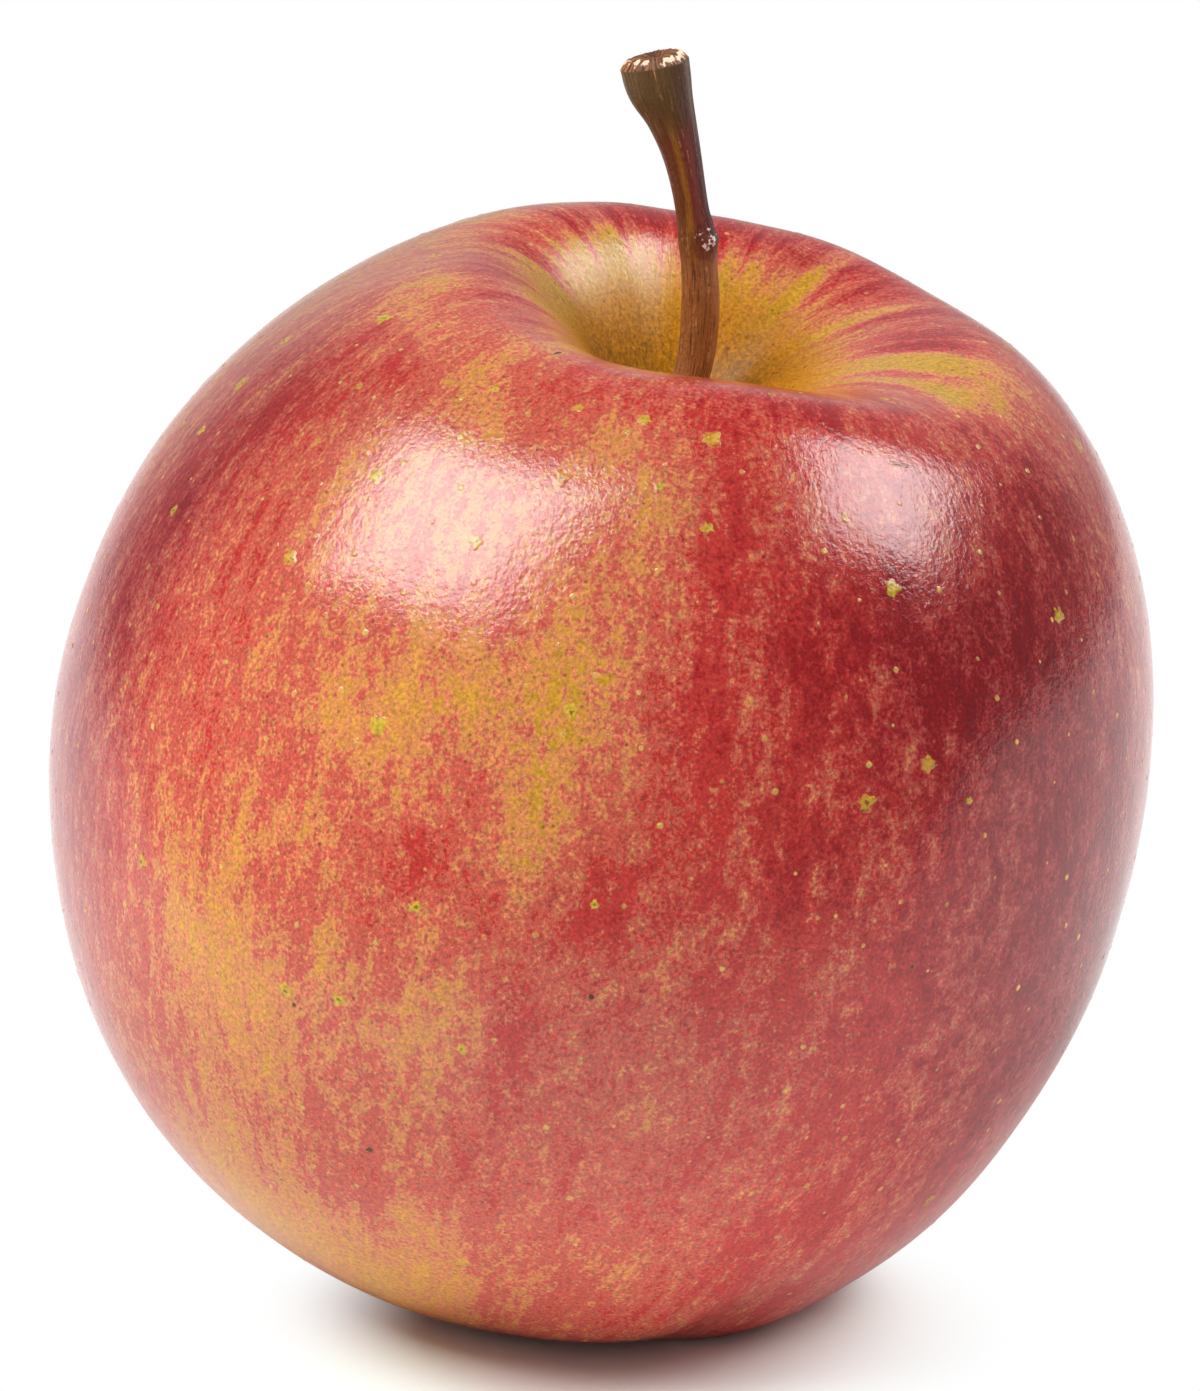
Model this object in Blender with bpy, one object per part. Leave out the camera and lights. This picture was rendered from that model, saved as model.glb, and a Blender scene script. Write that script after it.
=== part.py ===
"""A fresh apple standing on its calyx end.

The fruit is one solid of revolution made lopsided: its crest is lower on one side, its top leans,
five soft lobes run round its crest and its base, and it stands on a small flat patch under each
lobe. The woody stem, the five dried sepals and the dried stamens are pieces of their own.
"""

import math

import bmesh
import bpy
from mathutils import Matrix, Vector

# Driving dimensions, in metres.
EQUATOR_RADIUS = 0.039
PIECE_GAP = 0.0003

# Outline of the fruit, as fractions of the equator radius. "Side" terms are added on the +X side
# and taken away on the -X side, and "front" terms do the same for -Y and +Y.
DEPTH_RATIO = 1.045
CREST_HEIGHT = 1.917
CREST_HEIGHT_FRONT = -0.055
CREST_RADIUS = 0.450
CREST_RADIUS_SIDE = 0.078
CREST_RADIUS_FRONT = 0.083
CAVITY_DEPTH = 0.34
EQUATOR_HEIGHT = 0.985
EQUATOR_HEIGHT_SIDE = 0.061
BASE_RADIUS = 0.319
BASIN_DEPTH = 0.22
SOCKET_RADIUS = 0.045
SOCKET_DEPTH = 0.06
BASE_OFFSET = 0.244

# Fullness of the curves between those points: the reach of each curve's handle over its span.
CREST_INNER_REACH = 0.33
CAVITY_WALL_REACH = 0.55
CAVITY_FLOOR_REACH = 0.15
SHOULDER_REACH = 0.226
UPPER_FLANK_REACH = 0.72
LOWER_FLANK_REACH = 0.621
LOWER_FLANK_REACH_SIDE = -0.214
LOWER_FLANK_REACH_FRONT = -0.08
BASE_REACH = 0.314
BASE_REACH_SIDE = 0.073
BASIN_RIM_REACH = 0.45
BASIN_FLOOR_REACH = 0.60

# Lobes and lean.
LOBE_COUNT = 5
CREST_LOBE_HEIGHT = 0.010
CREST_LOBE_PHASE = math.radians(-7.0)
BASE_LOBE_SWELL = 0.013
BASE_LOBE_RISE = 0.020
BASE_LOBE_PHASE = math.radians(7.0)
FLAT_SPOT_CUT = 0.009
LEAN_ANGLE = math.radians(10.57)
LEAN_FULL_HEIGHT = 0.90

# Mesh fineness of the fruit.
SEGMENTS = 60
CAVITY_STEPS = 10
SHOULDER_STEPS = 12
FLANK_STEPS = 14
BASIN_STEPS = 8
BASE_CROWDING = 1.5

# Stem: points of its centre line (x, z) and the radius at each, as fractions of the equator
# radius, from above the cavity's floor to the cut head. Its foot stands in the socket.
STEM_FOOT_RADIUS = 0.031
STEM_POINTS = (
    (0.328, 1.650, 0.033),
    (0.364, 1.745, 0.033),
    (0.373, 1.870, 0.034),
    (0.362, 1.990, 0.030),
    (0.344, 2.100, 0.032),
    (0.322, 2.185, 0.041),
    (0.303, 2.245, 0.053),
    (0.294, 2.290, 0.056),
)
STEM_SIDES = 16
STEM_STEPS_PER_SPAN = 4
STEM_HEAD_DISH = 0.010
BUD_SCAR_HEIGHT = 1.960
BUD_SCAR_LENGTH = 0.030
BUD_SCAR_SWELL = 0.35

# Dried flower parts in the calyx basin, in metres.
SEPAL_COUNT = 5
SEPAL_RING_RADIUS = 0.0028
SEPAL_LENGTH = 0.0068
SEPAL_WIDTH = 0.0026
SEPAL_THICKNESS = 0.0004
SEPAL_TIP_SHARE = 0.14
SEPAL_CUP = 0.0003
SEPAL_CURL = math.radians(70.0)
SEPAL_START_ANGLE = math.radians(12.0)
SEPAL_ROWS = 8
SEPAL_COLUMNS = 4
TUFT_RADIUS = 0.0013
TUFT_HEIGHT = 0.0009
FILAMENT_LENGTH = 0.0024
FILAMENT_TIP_SHARE = 0.35

COLOURS = {
    "fruit": ((0.55, 0.07, 0.05), 0.30),
    "stem": ((0.20, 0.10, 0.035), 0.70),
    "sepal": ((0.13, 0.08, 0.035), 0.85),
    "stamens": ((0.08, 0.05, 0.025), 0.90),
}


def clear_scene():
    """Remove every object of the scene."""
    for scene_object in list(bpy.data.objects):
        bpy.data.objects.remove(scene_object, do_unlink=True)


def make_material(name):
    """Make the Principled material of one kind of piece."""
    colour, roughness = COLOURS[name]
    material = bpy.data.materials.new(name)
    material.use_nodes = True
    shader = material.node_tree.nodes["Principled BSDF"]
    shader.inputs["Base Color"].default_value = (*colour, 1.0)
    shader.inputs["Roughness"].default_value = roughness
    shader.inputs["Metallic"].default_value = 0.0
    return material


def add_object(name, bm, material):
    """Turn a finished bmesh into a smooth-shaded object at the origin."""
    bmesh.ops.recalc_face_normals(bm, faces=bm.faces[:])
    mesh = bpy.data.meshes.new(name)
    bm.to_mesh(mesh)
    bm.free()
    mesh.shade_smooth()
    mesh.materials.append(material)
    piece = bpy.data.objects.new(name, mesh)
    bpy.context.collection.objects.link(piece)
    return piece


def smooth_step(value):
    """Ease from 0 to 1 with level ends."""
    clamped = min(max(value, 0.0), 1.0)
    return clamped * clamped * (3.0 - 2.0 * clamped)


def curve_point(start, start_handle, end_handle, end, t):
    """Give the point at t on a cubic curve of (radius, height) pairs."""
    weights = ((1 - t) ** 3, 3 * t * (1 - t) ** 2, 3 * t * t * (1 - t), t**3)
    points = (start, start_handle, end_handle, end)
    return tuple(sum(w * p[axis] for w, p in zip(weights, points)) for axis in (0, 1))


def cavity_wall(crest_radius, crest_height, t):
    """From the rim of the stem's socket up to the crest."""
    floor_height = CREST_HEIGHT - CAVITY_DEPTH
    climb = crest_height - floor_height
    start = (SOCKET_RADIUS, floor_height)
    start_handle = (
        SOCKET_RADIUS + (crest_radius - SOCKET_RADIUS) * CAVITY_FLOOR_REACH,
        floor_height + climb * CAVITY_WALL_REACH,
    )
    end_handle = (crest_radius * (1.0 - CREST_INNER_REACH), crest_height)
    return curve_point(start, start_handle, end_handle, (crest_radius, crest_height), t)


def shoulder(crest_radius, crest_height, equator_height, t):
    """From the crest out and down to the equator."""
    start_handle = (crest_radius + (1.0 - crest_radius) * SHOULDER_REACH, crest_height)
    end_handle = (1.0, equator_height + (crest_height - equator_height) * UPPER_FLANK_REACH)
    start = (crest_radius, crest_height)
    return curve_point(start, start_handle, end_handle, (1.0, equator_height), t)


def flank(equator_height, flank_reach, base_reach, base_radius, base_height, t):
    """From the equator in and down to the ring that the fruit stands on."""
    start_handle = (1.0, equator_height * (1.0 - flank_reach))
    end_handle = (base_radius + (1.0 - base_radius) * base_reach, base_height)
    return curve_point((1.0, equator_height), start_handle, end_handle, (base_radius, base_height), t)


def basin(base_radius, base_height, t):
    """From the standing ring up into the calyx basin."""
    start_handle = (base_radius * (1.0 - BASIN_RIM_REACH), base_height)
    end_handle = (base_radius * BASIN_FLOOR_REACH, BASIN_DEPTH)
    return curve_point((base_radius, base_height), start_handle, end_handle, (0.0, BASIN_DEPTH), t)


def outline_point(arc, t, azimuth):
    """Give radius and height on the outline at one azimuth, as fractions of the equator radius."""
    side = math.cos(azimuth)
    front = -math.sin(azimuth)
    crest_lobe = CREST_LOBE_HEIGHT * math.cos(LOBE_COUNT * (azimuth - CREST_LOBE_PHASE))
    base_lobe = math.cos(LOBE_COUNT * (azimuth - BASE_LOBE_PHASE))
    crest_radius = CREST_RADIUS + CREST_RADIUS_SIDE * side + CREST_RADIUS_FRONT * front
    crest_height = CREST_HEIGHT + CREST_HEIGHT_FRONT * front + crest_lobe
    equator_height = EQUATOR_HEIGHT + EQUATOR_HEIGHT_SIDE * side
    base_radius = BASE_RADIUS * (1.0 + BASE_LOBE_SWELL * base_lobe)
    base_height = BASE_LOBE_RISE * 0.5 * (1.0 - base_lobe)
    if arc == "socket":
        floor_height = CREST_HEIGHT - CAVITY_DEPTH
        return (SOCKET_RADIUS * t, floor_height - SOCKET_DEPTH)
    if arc == "cavity":
        return cavity_wall(crest_radius, crest_height, t)
    if arc == "shoulder":
        return shoulder(crest_radius, crest_height, equator_height, t)
    if arc == "flank":
        flank_reach = LOWER_FLANK_REACH + LOWER_FLANK_REACH_SIDE * side
        flank_reach += LOWER_FLANK_REACH_FRONT * front
        base_reach = BASE_REACH + BASE_REACH_SIDE * side
        return flank(equator_height, flank_reach, base_reach, base_radius, base_height, t)
    return basin(base_radius, base_height, t)


def leaned(x, y, z):
    """Bend a point of the upright fruit over to +X: not at the base, fully above the lower flank."""
    angle = LEAN_ANGLE * smooth_step(z / LEAN_FULL_HEIGHT)
    return (
        x * math.cos(angle) + z * math.sin(angle),
        y,
        z * math.cos(angle) - x * math.sin(angle),
    )


def fruit_point(arc, t, azimuth):
    """Give the place in metres of one point of the fruit's surface."""
    radius, height = outline_point(arc, t, azimuth)
    base_share = smooth_step(1.0 - height / EQUATOR_HEIGHT)
    x = radius * math.cos(azimuth) + BASE_OFFSET * base_share
    y = radius * math.sin(azimuth) * DEPTH_RATIO
    x, y, z = leaned(x, y, height)
    return Vector((x, y, max(z - FLAT_SPOT_CUT, 0.0))) * EQUATOR_RADIUS


def outline_stations():
    """List the (arc, t) stations of the outline, from the socket's middle to the basin's.

    They crowd together at the standing ring, so that each lobe's flat spot has faces of its own.
    """
    stations = [("socket", 0.0), ("socket", 1.0)]
    stations += [("cavity", i / CAVITY_STEPS) for i in range(CAVITY_STEPS)]
    stations += [("shoulder", i / SHOULDER_STEPS) for i in range(SHOULDER_STEPS)]
    stations += [("flank", 1.0 - (1.0 - i / FLANK_STEPS) ** BASE_CROWDING) for i in range(FLANK_STEPS)]
    stations += [("basin", (i / BASIN_STEPS) ** BASE_CROWDING) for i in range(BASIN_STEPS + 1)]
    return stations


def make_fruit(material):
    """Spin a plain outline round the axis, then move each point to its place on the lopsided fruit."""
    stations = outline_stations()
    bm = bmesh.new()
    station_layer = bm.verts.layers.int.new("station")
    outline = []
    for index, (arc, t) in enumerate(stations):
        radius, height = outline_point(arc, t, 0.0)
        vertex = bm.verts.new((radius, 0.0, height))
        vertex[station_layer] = index
        outline.append(vertex)
    edges = [bm.edges.new(pair) for pair in zip(outline[:-1], outline[1:])]
    bmesh.ops.spin(
        bm,
        geom=outline + edges,
        cent=(0.0, 0.0, 0.0),
        axis=(0.0, 0.0, 1.0),
        angle=2.0 * math.pi,
        steps=SEGMENTS,
        use_merge=True,
    )
    bmesh.ops.remove_doubles(bm, verts=bm.verts[:], dist=1e-4)
    for vertex in bm.verts:
        arc, t = stations[vertex[station_layer]]
        azimuth = math.atan2(vertex.co.y, vertex.co.x)
        vertex.co = fruit_point(arc, t, azimuth)
    bmesh.ops.triangulate(bm, faces=[face for face in bm.faces if len(face.verts) > 3])
    return add_object("fruit", bm, material)


def spline_point(points, span, t):
    """Give the point at t on one span of a smooth curve through all the points."""
    last = len(points) - 1
    p0 = points[max(span - 1, 0)]
    p1 = points[span]
    p2 = points[span + 1]
    p3 = points[min(span + 2, last)]
    blend = []
    for a, b, c, d in zip(p0, p1, p2, p3):
        bend = 2 * a - 5 * b + 4 * c - d
        twist = 3 * b - a - 3 * c + d
        blend.append(0.5 * (2 * b + (c - a) * t + bend * t * t + twist * t**3))
    return blend


def stem_foot_points():
    """Give the stem's two points on the socket's axis: its end and the cavity's floor."""
    floor_height = CREST_HEIGHT - CAVITY_DEPTH
    foot_height = floor_height - SOCKET_DEPTH + PIECE_GAP / EQUATOR_RADIUS
    points = []
    for height in (foot_height, floor_height):
        x, _, z = leaned(0.0, 0.0, height)
        points.append((x, z, STEM_FOOT_RADIUS))
    return points


def stem_stations():
    """List the stem's centre points and radii, in metres, from foot to head."""
    points = stem_foot_points() + list(STEM_POINTS)
    stations = []
    for span in range(len(points) - 1):
        for step in range(STEM_STEPS_PER_SPAN):
            stations.append(spline_point(points, span, step / STEM_STEPS_PER_SPAN))
    stations.append(points[-1])
    drop = FLAT_SPOT_CUT
    return [
        (Vector((x, 0.0, z - drop)) * EQUATOR_RADIUS, radius * EQUATOR_RADIUS)
        for x, z, radius in stations
    ]


def bud_scar_swell(height, angle):
    """Give the share by which the stem is thicker at its bud scar, on the +X side."""
    distance = (height / EQUATOR_RADIUS + FLAT_SPOT_CUT - BUD_SCAR_HEIGHT) / BUD_SCAR_LENGTH
    facing = max(math.cos(angle), 0.0) ** 4
    return BUD_SCAR_SWELL * facing * math.exp(-distance * distance)


def make_stem(material):
    """Loft rings along the stem's centre line and close it with a flat foot and a dished head."""
    stations = stem_stations()
    bm = bmesh.new()
    rings = []
    for index, (centre, radius) in enumerate(stations):
        before = stations[max(index - 1, 0)][0]
        after = stations[min(index + 1, len(stations) - 1)][0]
        tangent = (after - before).normalized()
        across = Vector((0.0, 1.0, 0.0)).cross(tangent)
        ring = []
        for side in range(STEM_SIDES):
            angle = 2.0 * math.pi * side / STEM_SIDES
            reach = radius * (1.0 + bud_scar_swell(centre.z, angle))
            offset = across * math.cos(angle) + Vector((0.0, 1.0, 0.0)) * math.sin(angle)
            ring.append(bm.verts.new(centre + offset * reach))
        rings.append([bm.edges.new((ring[i - 1], ring[i])) for i in range(STEM_SIDES)])
    for lower, upper in zip(rings[:-1], rings[1:]):
        bmesh.ops.bridge_loops(bm, edges=lower + upper)
    foot = bmesh.ops.contextual_create(bm, geom=rings[0])["faces"]
    head = bmesh.ops.contextual_create(bm, geom=rings[-1])["faces"]
    bmesh.ops.poke(bm, faces=foot)
    dish = bmesh.ops.poke(bm, faces=head)["verts"][0]
    dish.co.z -= STEM_HEAD_DISH * EQUATOR_RADIUS
    return add_object("stem", bm, material)


def basin_floor():
    """Give the middle of the calyx basin's floor."""
    return fruit_point("basin", 1.0, 0.0)


def sepal_width(share):
    """Give a sepal's width at a share of its length: a narrow foot, a full middle, a pointed tip."""
    fullness = math.sin(math.pi * (0.30 + 0.66 * share))
    return SEPAL_WIDTH * max(fullness, SEPAL_TIP_SHARE)


def make_sepal(name, turn, curl, material):
    """Model one dried sepal as a curled, cupped sheet with thickness, standing in its ring."""
    bm = bmesh.new()
    step = SEPAL_LENGTH / SEPAL_ROWS
    radius = SEPAL_RING_RADIUS
    drop = SEPAL_THICKNESS + PIECE_GAP
    rows = []
    for row in range(SEPAL_ROWS + 1):
        share = row / SEPAL_ROWS
        half_width = 0.5 * sepal_width(share)
        line = []
        for column in range(SEPAL_COLUMNS + 1):
            across = 2.0 * column / SEPAL_COLUMNS - 1.0
            inward = SEPAL_CUP * across * across
            line.append(bm.verts.new((radius - inward, across * half_width, -drop)))
        rows.append(line)
        heading = SEPAL_START_ANGLE + curl * share
        radius += step * math.sin(heading)
        drop += step * math.cos(heading)
    for lower, upper in zip(rows[:-1], rows[1:]):
        for column in range(SEPAL_COLUMNS):
            bm.faces.new((lower[column], lower[column + 1], upper[column + 1], upper[column]))
    bmesh.ops.transform(bm, matrix=Matrix.Rotation(turn, 4, "Z"), verts=bm.verts[:])
    bmesh.ops.translate(bm, vec=basin_floor(), verts=bm.verts[:])
    sheet = add_object(name, bm, material)
    thickness = sheet.modifiers.new("thickness", "SOLIDIFY")
    thickness.thickness = SEPAL_THICKNESS
    thickness.offset = 0.0
    return sheet


def make_stamens(material):
    """Model the dried stamens as a low cushion with thin filaments drawn out of its faces."""
    bm = bmesh.new()
    bmesh.ops.create_icosphere(bm, subdivisions=2, radius=TUFT_RADIUS)
    flatten = Matrix.Diagonal((1.0, 1.0, TUFT_HEIGHT / TUFT_RADIUS, 1.0))
    bmesh.ops.transform(bm, matrix=flatten, verts=bm.verts[:])
    bm.faces.ensure_lookup_table()
    hanging = [face for face in bm.faces if face.normal.z < -0.55]
    roots = hanging[::5]
    tips = bmesh.ops.extrude_discrete_faces(bm, faces=roots)["faces"]
    for index, tip in enumerate(tips):
        centre = tip.calc_center_median()
        spread = Vector((centre.x, centre.y, 0.0))
        length = FILAMENT_LENGTH * (0.8 + 0.1 * (index % 5))
        target = centre + spread * 0.9 + Vector((0.0, 0.0, -length))
        for vertex in tip.verts:
            vertex.co = target + (vertex.co - centre) * FILAMENT_TIP_SHARE
    place = basin_floor() - Vector((0.0, 0.0, TUFT_HEIGHT + PIECE_GAP))
    bmesh.ops.translate(bm, vec=place, verts=bm.verts[:])
    return add_object("calyx_stamens", bm, material)


def centre_on_footprint(pieces, fruit):
    """Shift every piece so that the origin is under the middle of the fruit's bounding box."""
    xs = [vertex.co.x for vertex in fruit.data.vertices]
    ys = [vertex.co.y for vertex in fruit.data.vertices]
    middle = Vector((min(xs) + max(xs), min(ys) + max(ys), 0.0)) * 0.5
    for piece in pieces:
        piece.data.transform(Matrix.Translation(-middle))


def main():
    """Build the apple."""
    clear_scene()
    materials = {name: make_material(name) for name in COLOURS}
    fruit = make_fruit(materials["fruit"])
    pieces = [fruit, make_stem(materials["stem"]), make_stamens(materials["stamens"])]
    for index in range(SEPAL_COUNT):
        turn = 2.0 * math.pi * (index + 0.5) / SEPAL_COUNT
        curl = SEPAL_CURL * (0.8 + 0.1 * (index * 3 % SEPAL_COUNT))
        pieces.append(make_sepal(f"calyx_sepal_{index + 1}", turn, curl, materials["sepal"]))
    centre_on_footprint(pieces, fruit)


main()
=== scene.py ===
"""A fresh apple on a pale floor: mottled red skin over gold, a woody stem, dried sepals and stamens.

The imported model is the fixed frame. Each of its solids is replaced here by a finer piece that
follows the same outline in the same place. Lengths are in metres unless a name says otherwise.
"""

from __future__ import annotations

import logging
import math
from collections.abc import Iterable
from dataclasses import dataclass, field
from enum import Enum

import bpy
import numpy as np
from bpy.types import ID, Material, Mesh, Node, NodeOutputs, NodeTree, Object
from bpy.types import NodeSocket as Socket
from mathutils import Matrix, Vector, noise


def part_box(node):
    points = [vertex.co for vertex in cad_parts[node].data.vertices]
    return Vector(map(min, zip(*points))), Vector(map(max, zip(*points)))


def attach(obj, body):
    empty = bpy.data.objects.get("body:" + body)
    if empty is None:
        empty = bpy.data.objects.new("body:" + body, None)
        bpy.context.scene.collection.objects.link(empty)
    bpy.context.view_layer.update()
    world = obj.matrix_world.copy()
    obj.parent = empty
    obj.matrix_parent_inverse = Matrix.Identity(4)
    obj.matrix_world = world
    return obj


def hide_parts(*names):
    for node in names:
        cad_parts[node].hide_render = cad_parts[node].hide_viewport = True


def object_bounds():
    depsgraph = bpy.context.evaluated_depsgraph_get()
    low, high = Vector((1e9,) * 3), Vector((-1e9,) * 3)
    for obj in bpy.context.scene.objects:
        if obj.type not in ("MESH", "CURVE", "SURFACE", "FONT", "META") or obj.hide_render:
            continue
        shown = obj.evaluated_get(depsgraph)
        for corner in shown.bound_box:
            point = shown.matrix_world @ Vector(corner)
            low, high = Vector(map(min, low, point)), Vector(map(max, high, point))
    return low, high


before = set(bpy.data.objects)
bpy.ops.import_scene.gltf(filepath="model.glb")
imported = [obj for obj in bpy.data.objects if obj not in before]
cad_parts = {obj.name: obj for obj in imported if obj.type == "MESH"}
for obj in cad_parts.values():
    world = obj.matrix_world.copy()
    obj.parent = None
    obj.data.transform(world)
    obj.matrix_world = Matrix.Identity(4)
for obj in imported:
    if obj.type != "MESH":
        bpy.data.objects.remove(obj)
CAD_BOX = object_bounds()

LOG = logging.getLogger("apple")
# The height of the fruit's middle, as a share of the height of the CAD part with its stem.
MIDDLE_SHARE = 0.410775
Array = np.ndarray
Colour = tuple[float, float, float, float]
Face = tuple[int, ...]
WHITE: Colour = (1.0, 1.0, 1.0, 1.0)
BLACK: Colour = (0.0, 0.0, 0.0, 1.0)
FULL_TURN = 2.0 * math.pi
PIGMENTS = ("grain", "blush", "ground")


class Arc(Enum):
    """The arcs of the fruit's outline, in order, each one station long."""

    SEAT = -1
    CAVITY = 0
    SHOULDER = 1
    FLANK = 2
    BASIN = 3


class Maths(Enum):
    """The sums that the materials and the node trees use."""

    ADD = "ADD"
    SUBTRACT = "SUBTRACT"
    MULTIPLY = "MULTIPLY"
    DIVIDE = "DIVIDE"
    POWER = "POWER"


class Kind(Enum):
    """What an attribute or a random draw holds."""

    NUMBER = "FLOAT"
    VECTOR = "FLOAT_VECTOR"


def dye(red: float, green: float, blue: float) -> Colour:
    """Turn a colour as seen into the linear colour that shaders take."""
    parts = [value / 255.0 for value in (red, green, blue)]
    linear = [p / 12.92 if p <= 0.04045 else ((p + 0.055) / 1.055) ** 2.4 for p in parts]
    return (linear[0], linear[1], linear[2], 1.0)


def ease(values: Array) -> Array:
    """Ease from 0 to 1 with level ends."""
    clamped = np.clip(values, 0.0, 1.0)
    return clamped * clamped * (3.0 - 2.0 * clamped)


def bell(values: Array, middle: float, width: float) -> Array:
    """Give 1 at the middle, falling away to both sides over that width."""
    return np.exp(-(((values - middle) / width) ** 2))


def turned(degrees: Array) -> Array:
    """Bring angles in degrees into the half turn to each side of 0."""
    return (degrees + 180.0) % 360.0 - 180.0


def linked(name: str, data: ID) -> Object:
    """Put a mesh, a light or a camera into the scene."""
    made = bpy.data.objects.new(name, data)
    bpy.context.collection.objects.link(made)
    return made


def shaped(name: str, points: Iterable, faces: list[Face], material: Material | None = None) -> Object:
    """Make an object of points and faces. With a material it is a finished, smooth piece.

    Args:
        name: The object's name.
        points: Its points.
        faces: Its faces, as the numbers of their points.
        material: Its material, if it is to be a piece.

    Returns:
        The object.
    """
    mesh = bpy.data.meshes.new(name)
    mesh.from_pydata([tuple(point) for point in points], [], faces)
    if material is not None:
        mesh.materials.append(material)
        mesh.shade_smooth()
    return linked(name, mesh)


def store(mesh: Mesh, name: str, values: Array | list[float]) -> None:
    """Store a number or a vector for each of a mesh's points.

    Args:
        mesh: The mesh.
        name: The attribute's name.
        values: One number or one vector for each point.
    """
    rows = np.asarray(values, dtype=np.float32)
    kind, part = (Kind.VECTOR, "vector") if rows.ndim == 2 else (Kind.NUMBER, "value")
    attribute = mesh.attributes.new(name, kind.value, "POINT")
    attribute.data.foreach_set(part, rows.ravel())


def band(rings: int, sides: int, first: int = 0, flip: bool = False) -> list[Face]:
    """Join rings of points, each to the next, with four-sided faces.

    Args:
        rings: How many rings there are.
        sides: How many points each ring has.
        first: The number of the first ring's first point.
        flip: Whether the faces look the other way.

    Returns:
        The faces.
    """
    faces: list[Face] = []
    for ring in range(rings - 1):
        near, far = first + ring * sides, first + (ring + 1) * sides
        for side in range(sides):
            after = (side + 1) % sides
            if flip:
                faces.append((near + side, near + after, far + after, far + side))
            else:
                faces.append((near + side, far + side, far + after, near + after))
    return faces


def cap(tip: int, ring: int, sides: int, flip: bool = False) -> list[Face]:
    """Close a ring of points with triangles round a tip."""
    pairs = [(ring + side, ring + (side + 1) % sides) for side in range(sides)]
    return [(tip, after, at) if flip else (tip, at, after) for at, after in pairs]


def closed(rings: int, sides: int, first: int, tips: tuple[int, int], flip: bool = False) -> list[Face]:
    """Join rings of points and close both ends.

    Args:
        rings: How many rings there are.
        sides: How many points each ring has.
        first: The number of the first ring's first point.
        tips: The numbers of the two ends' middle points.
        flip: Whether the faces look the other way.

    Returns:
        The faces.
    """
    start = cap(tips[0], first, sides, flip)
    end = cap(tips[1], first + (rings - 1) * sides, sides, not flip)
    ends = [face for pair in zip(start, end) for face in pair]
    return band(rings, sides, first, flip) + ends


def disc(rings: int, sides: int, first: int) -> list[Face]:
    """Join rings of points that lie one inside the other, and close them round a middle point."""
    middle = first + rings * sides
    return band(rings, sides, first, flip=True) + cap(middle, middle - sides, sides)


@dataclass(frozen=True)
class Cloud:
    """One layer of cloudy noise.

    Attributes:
        scale: Clouds for each unit of the coordinates, the same along every axis or one for each.
        detail: How many finer layers are added.
        roughness: How strong the finer layers are.
        distortion: How far the clouds are pulled about.
    """

    scale: float | tuple[float, float, float]
    detail: float
    roughness: float
    distortion: float = 0.0


@dataclass(frozen=True)
class Edge:
    """Where one look passes into the next.

    Attributes:
        low: Where the change starts.
        high: Where it ends.
        top: The value from there on, after 0 before the change.
    """

    low: float
    high: float
    top: float = 1.0


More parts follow.
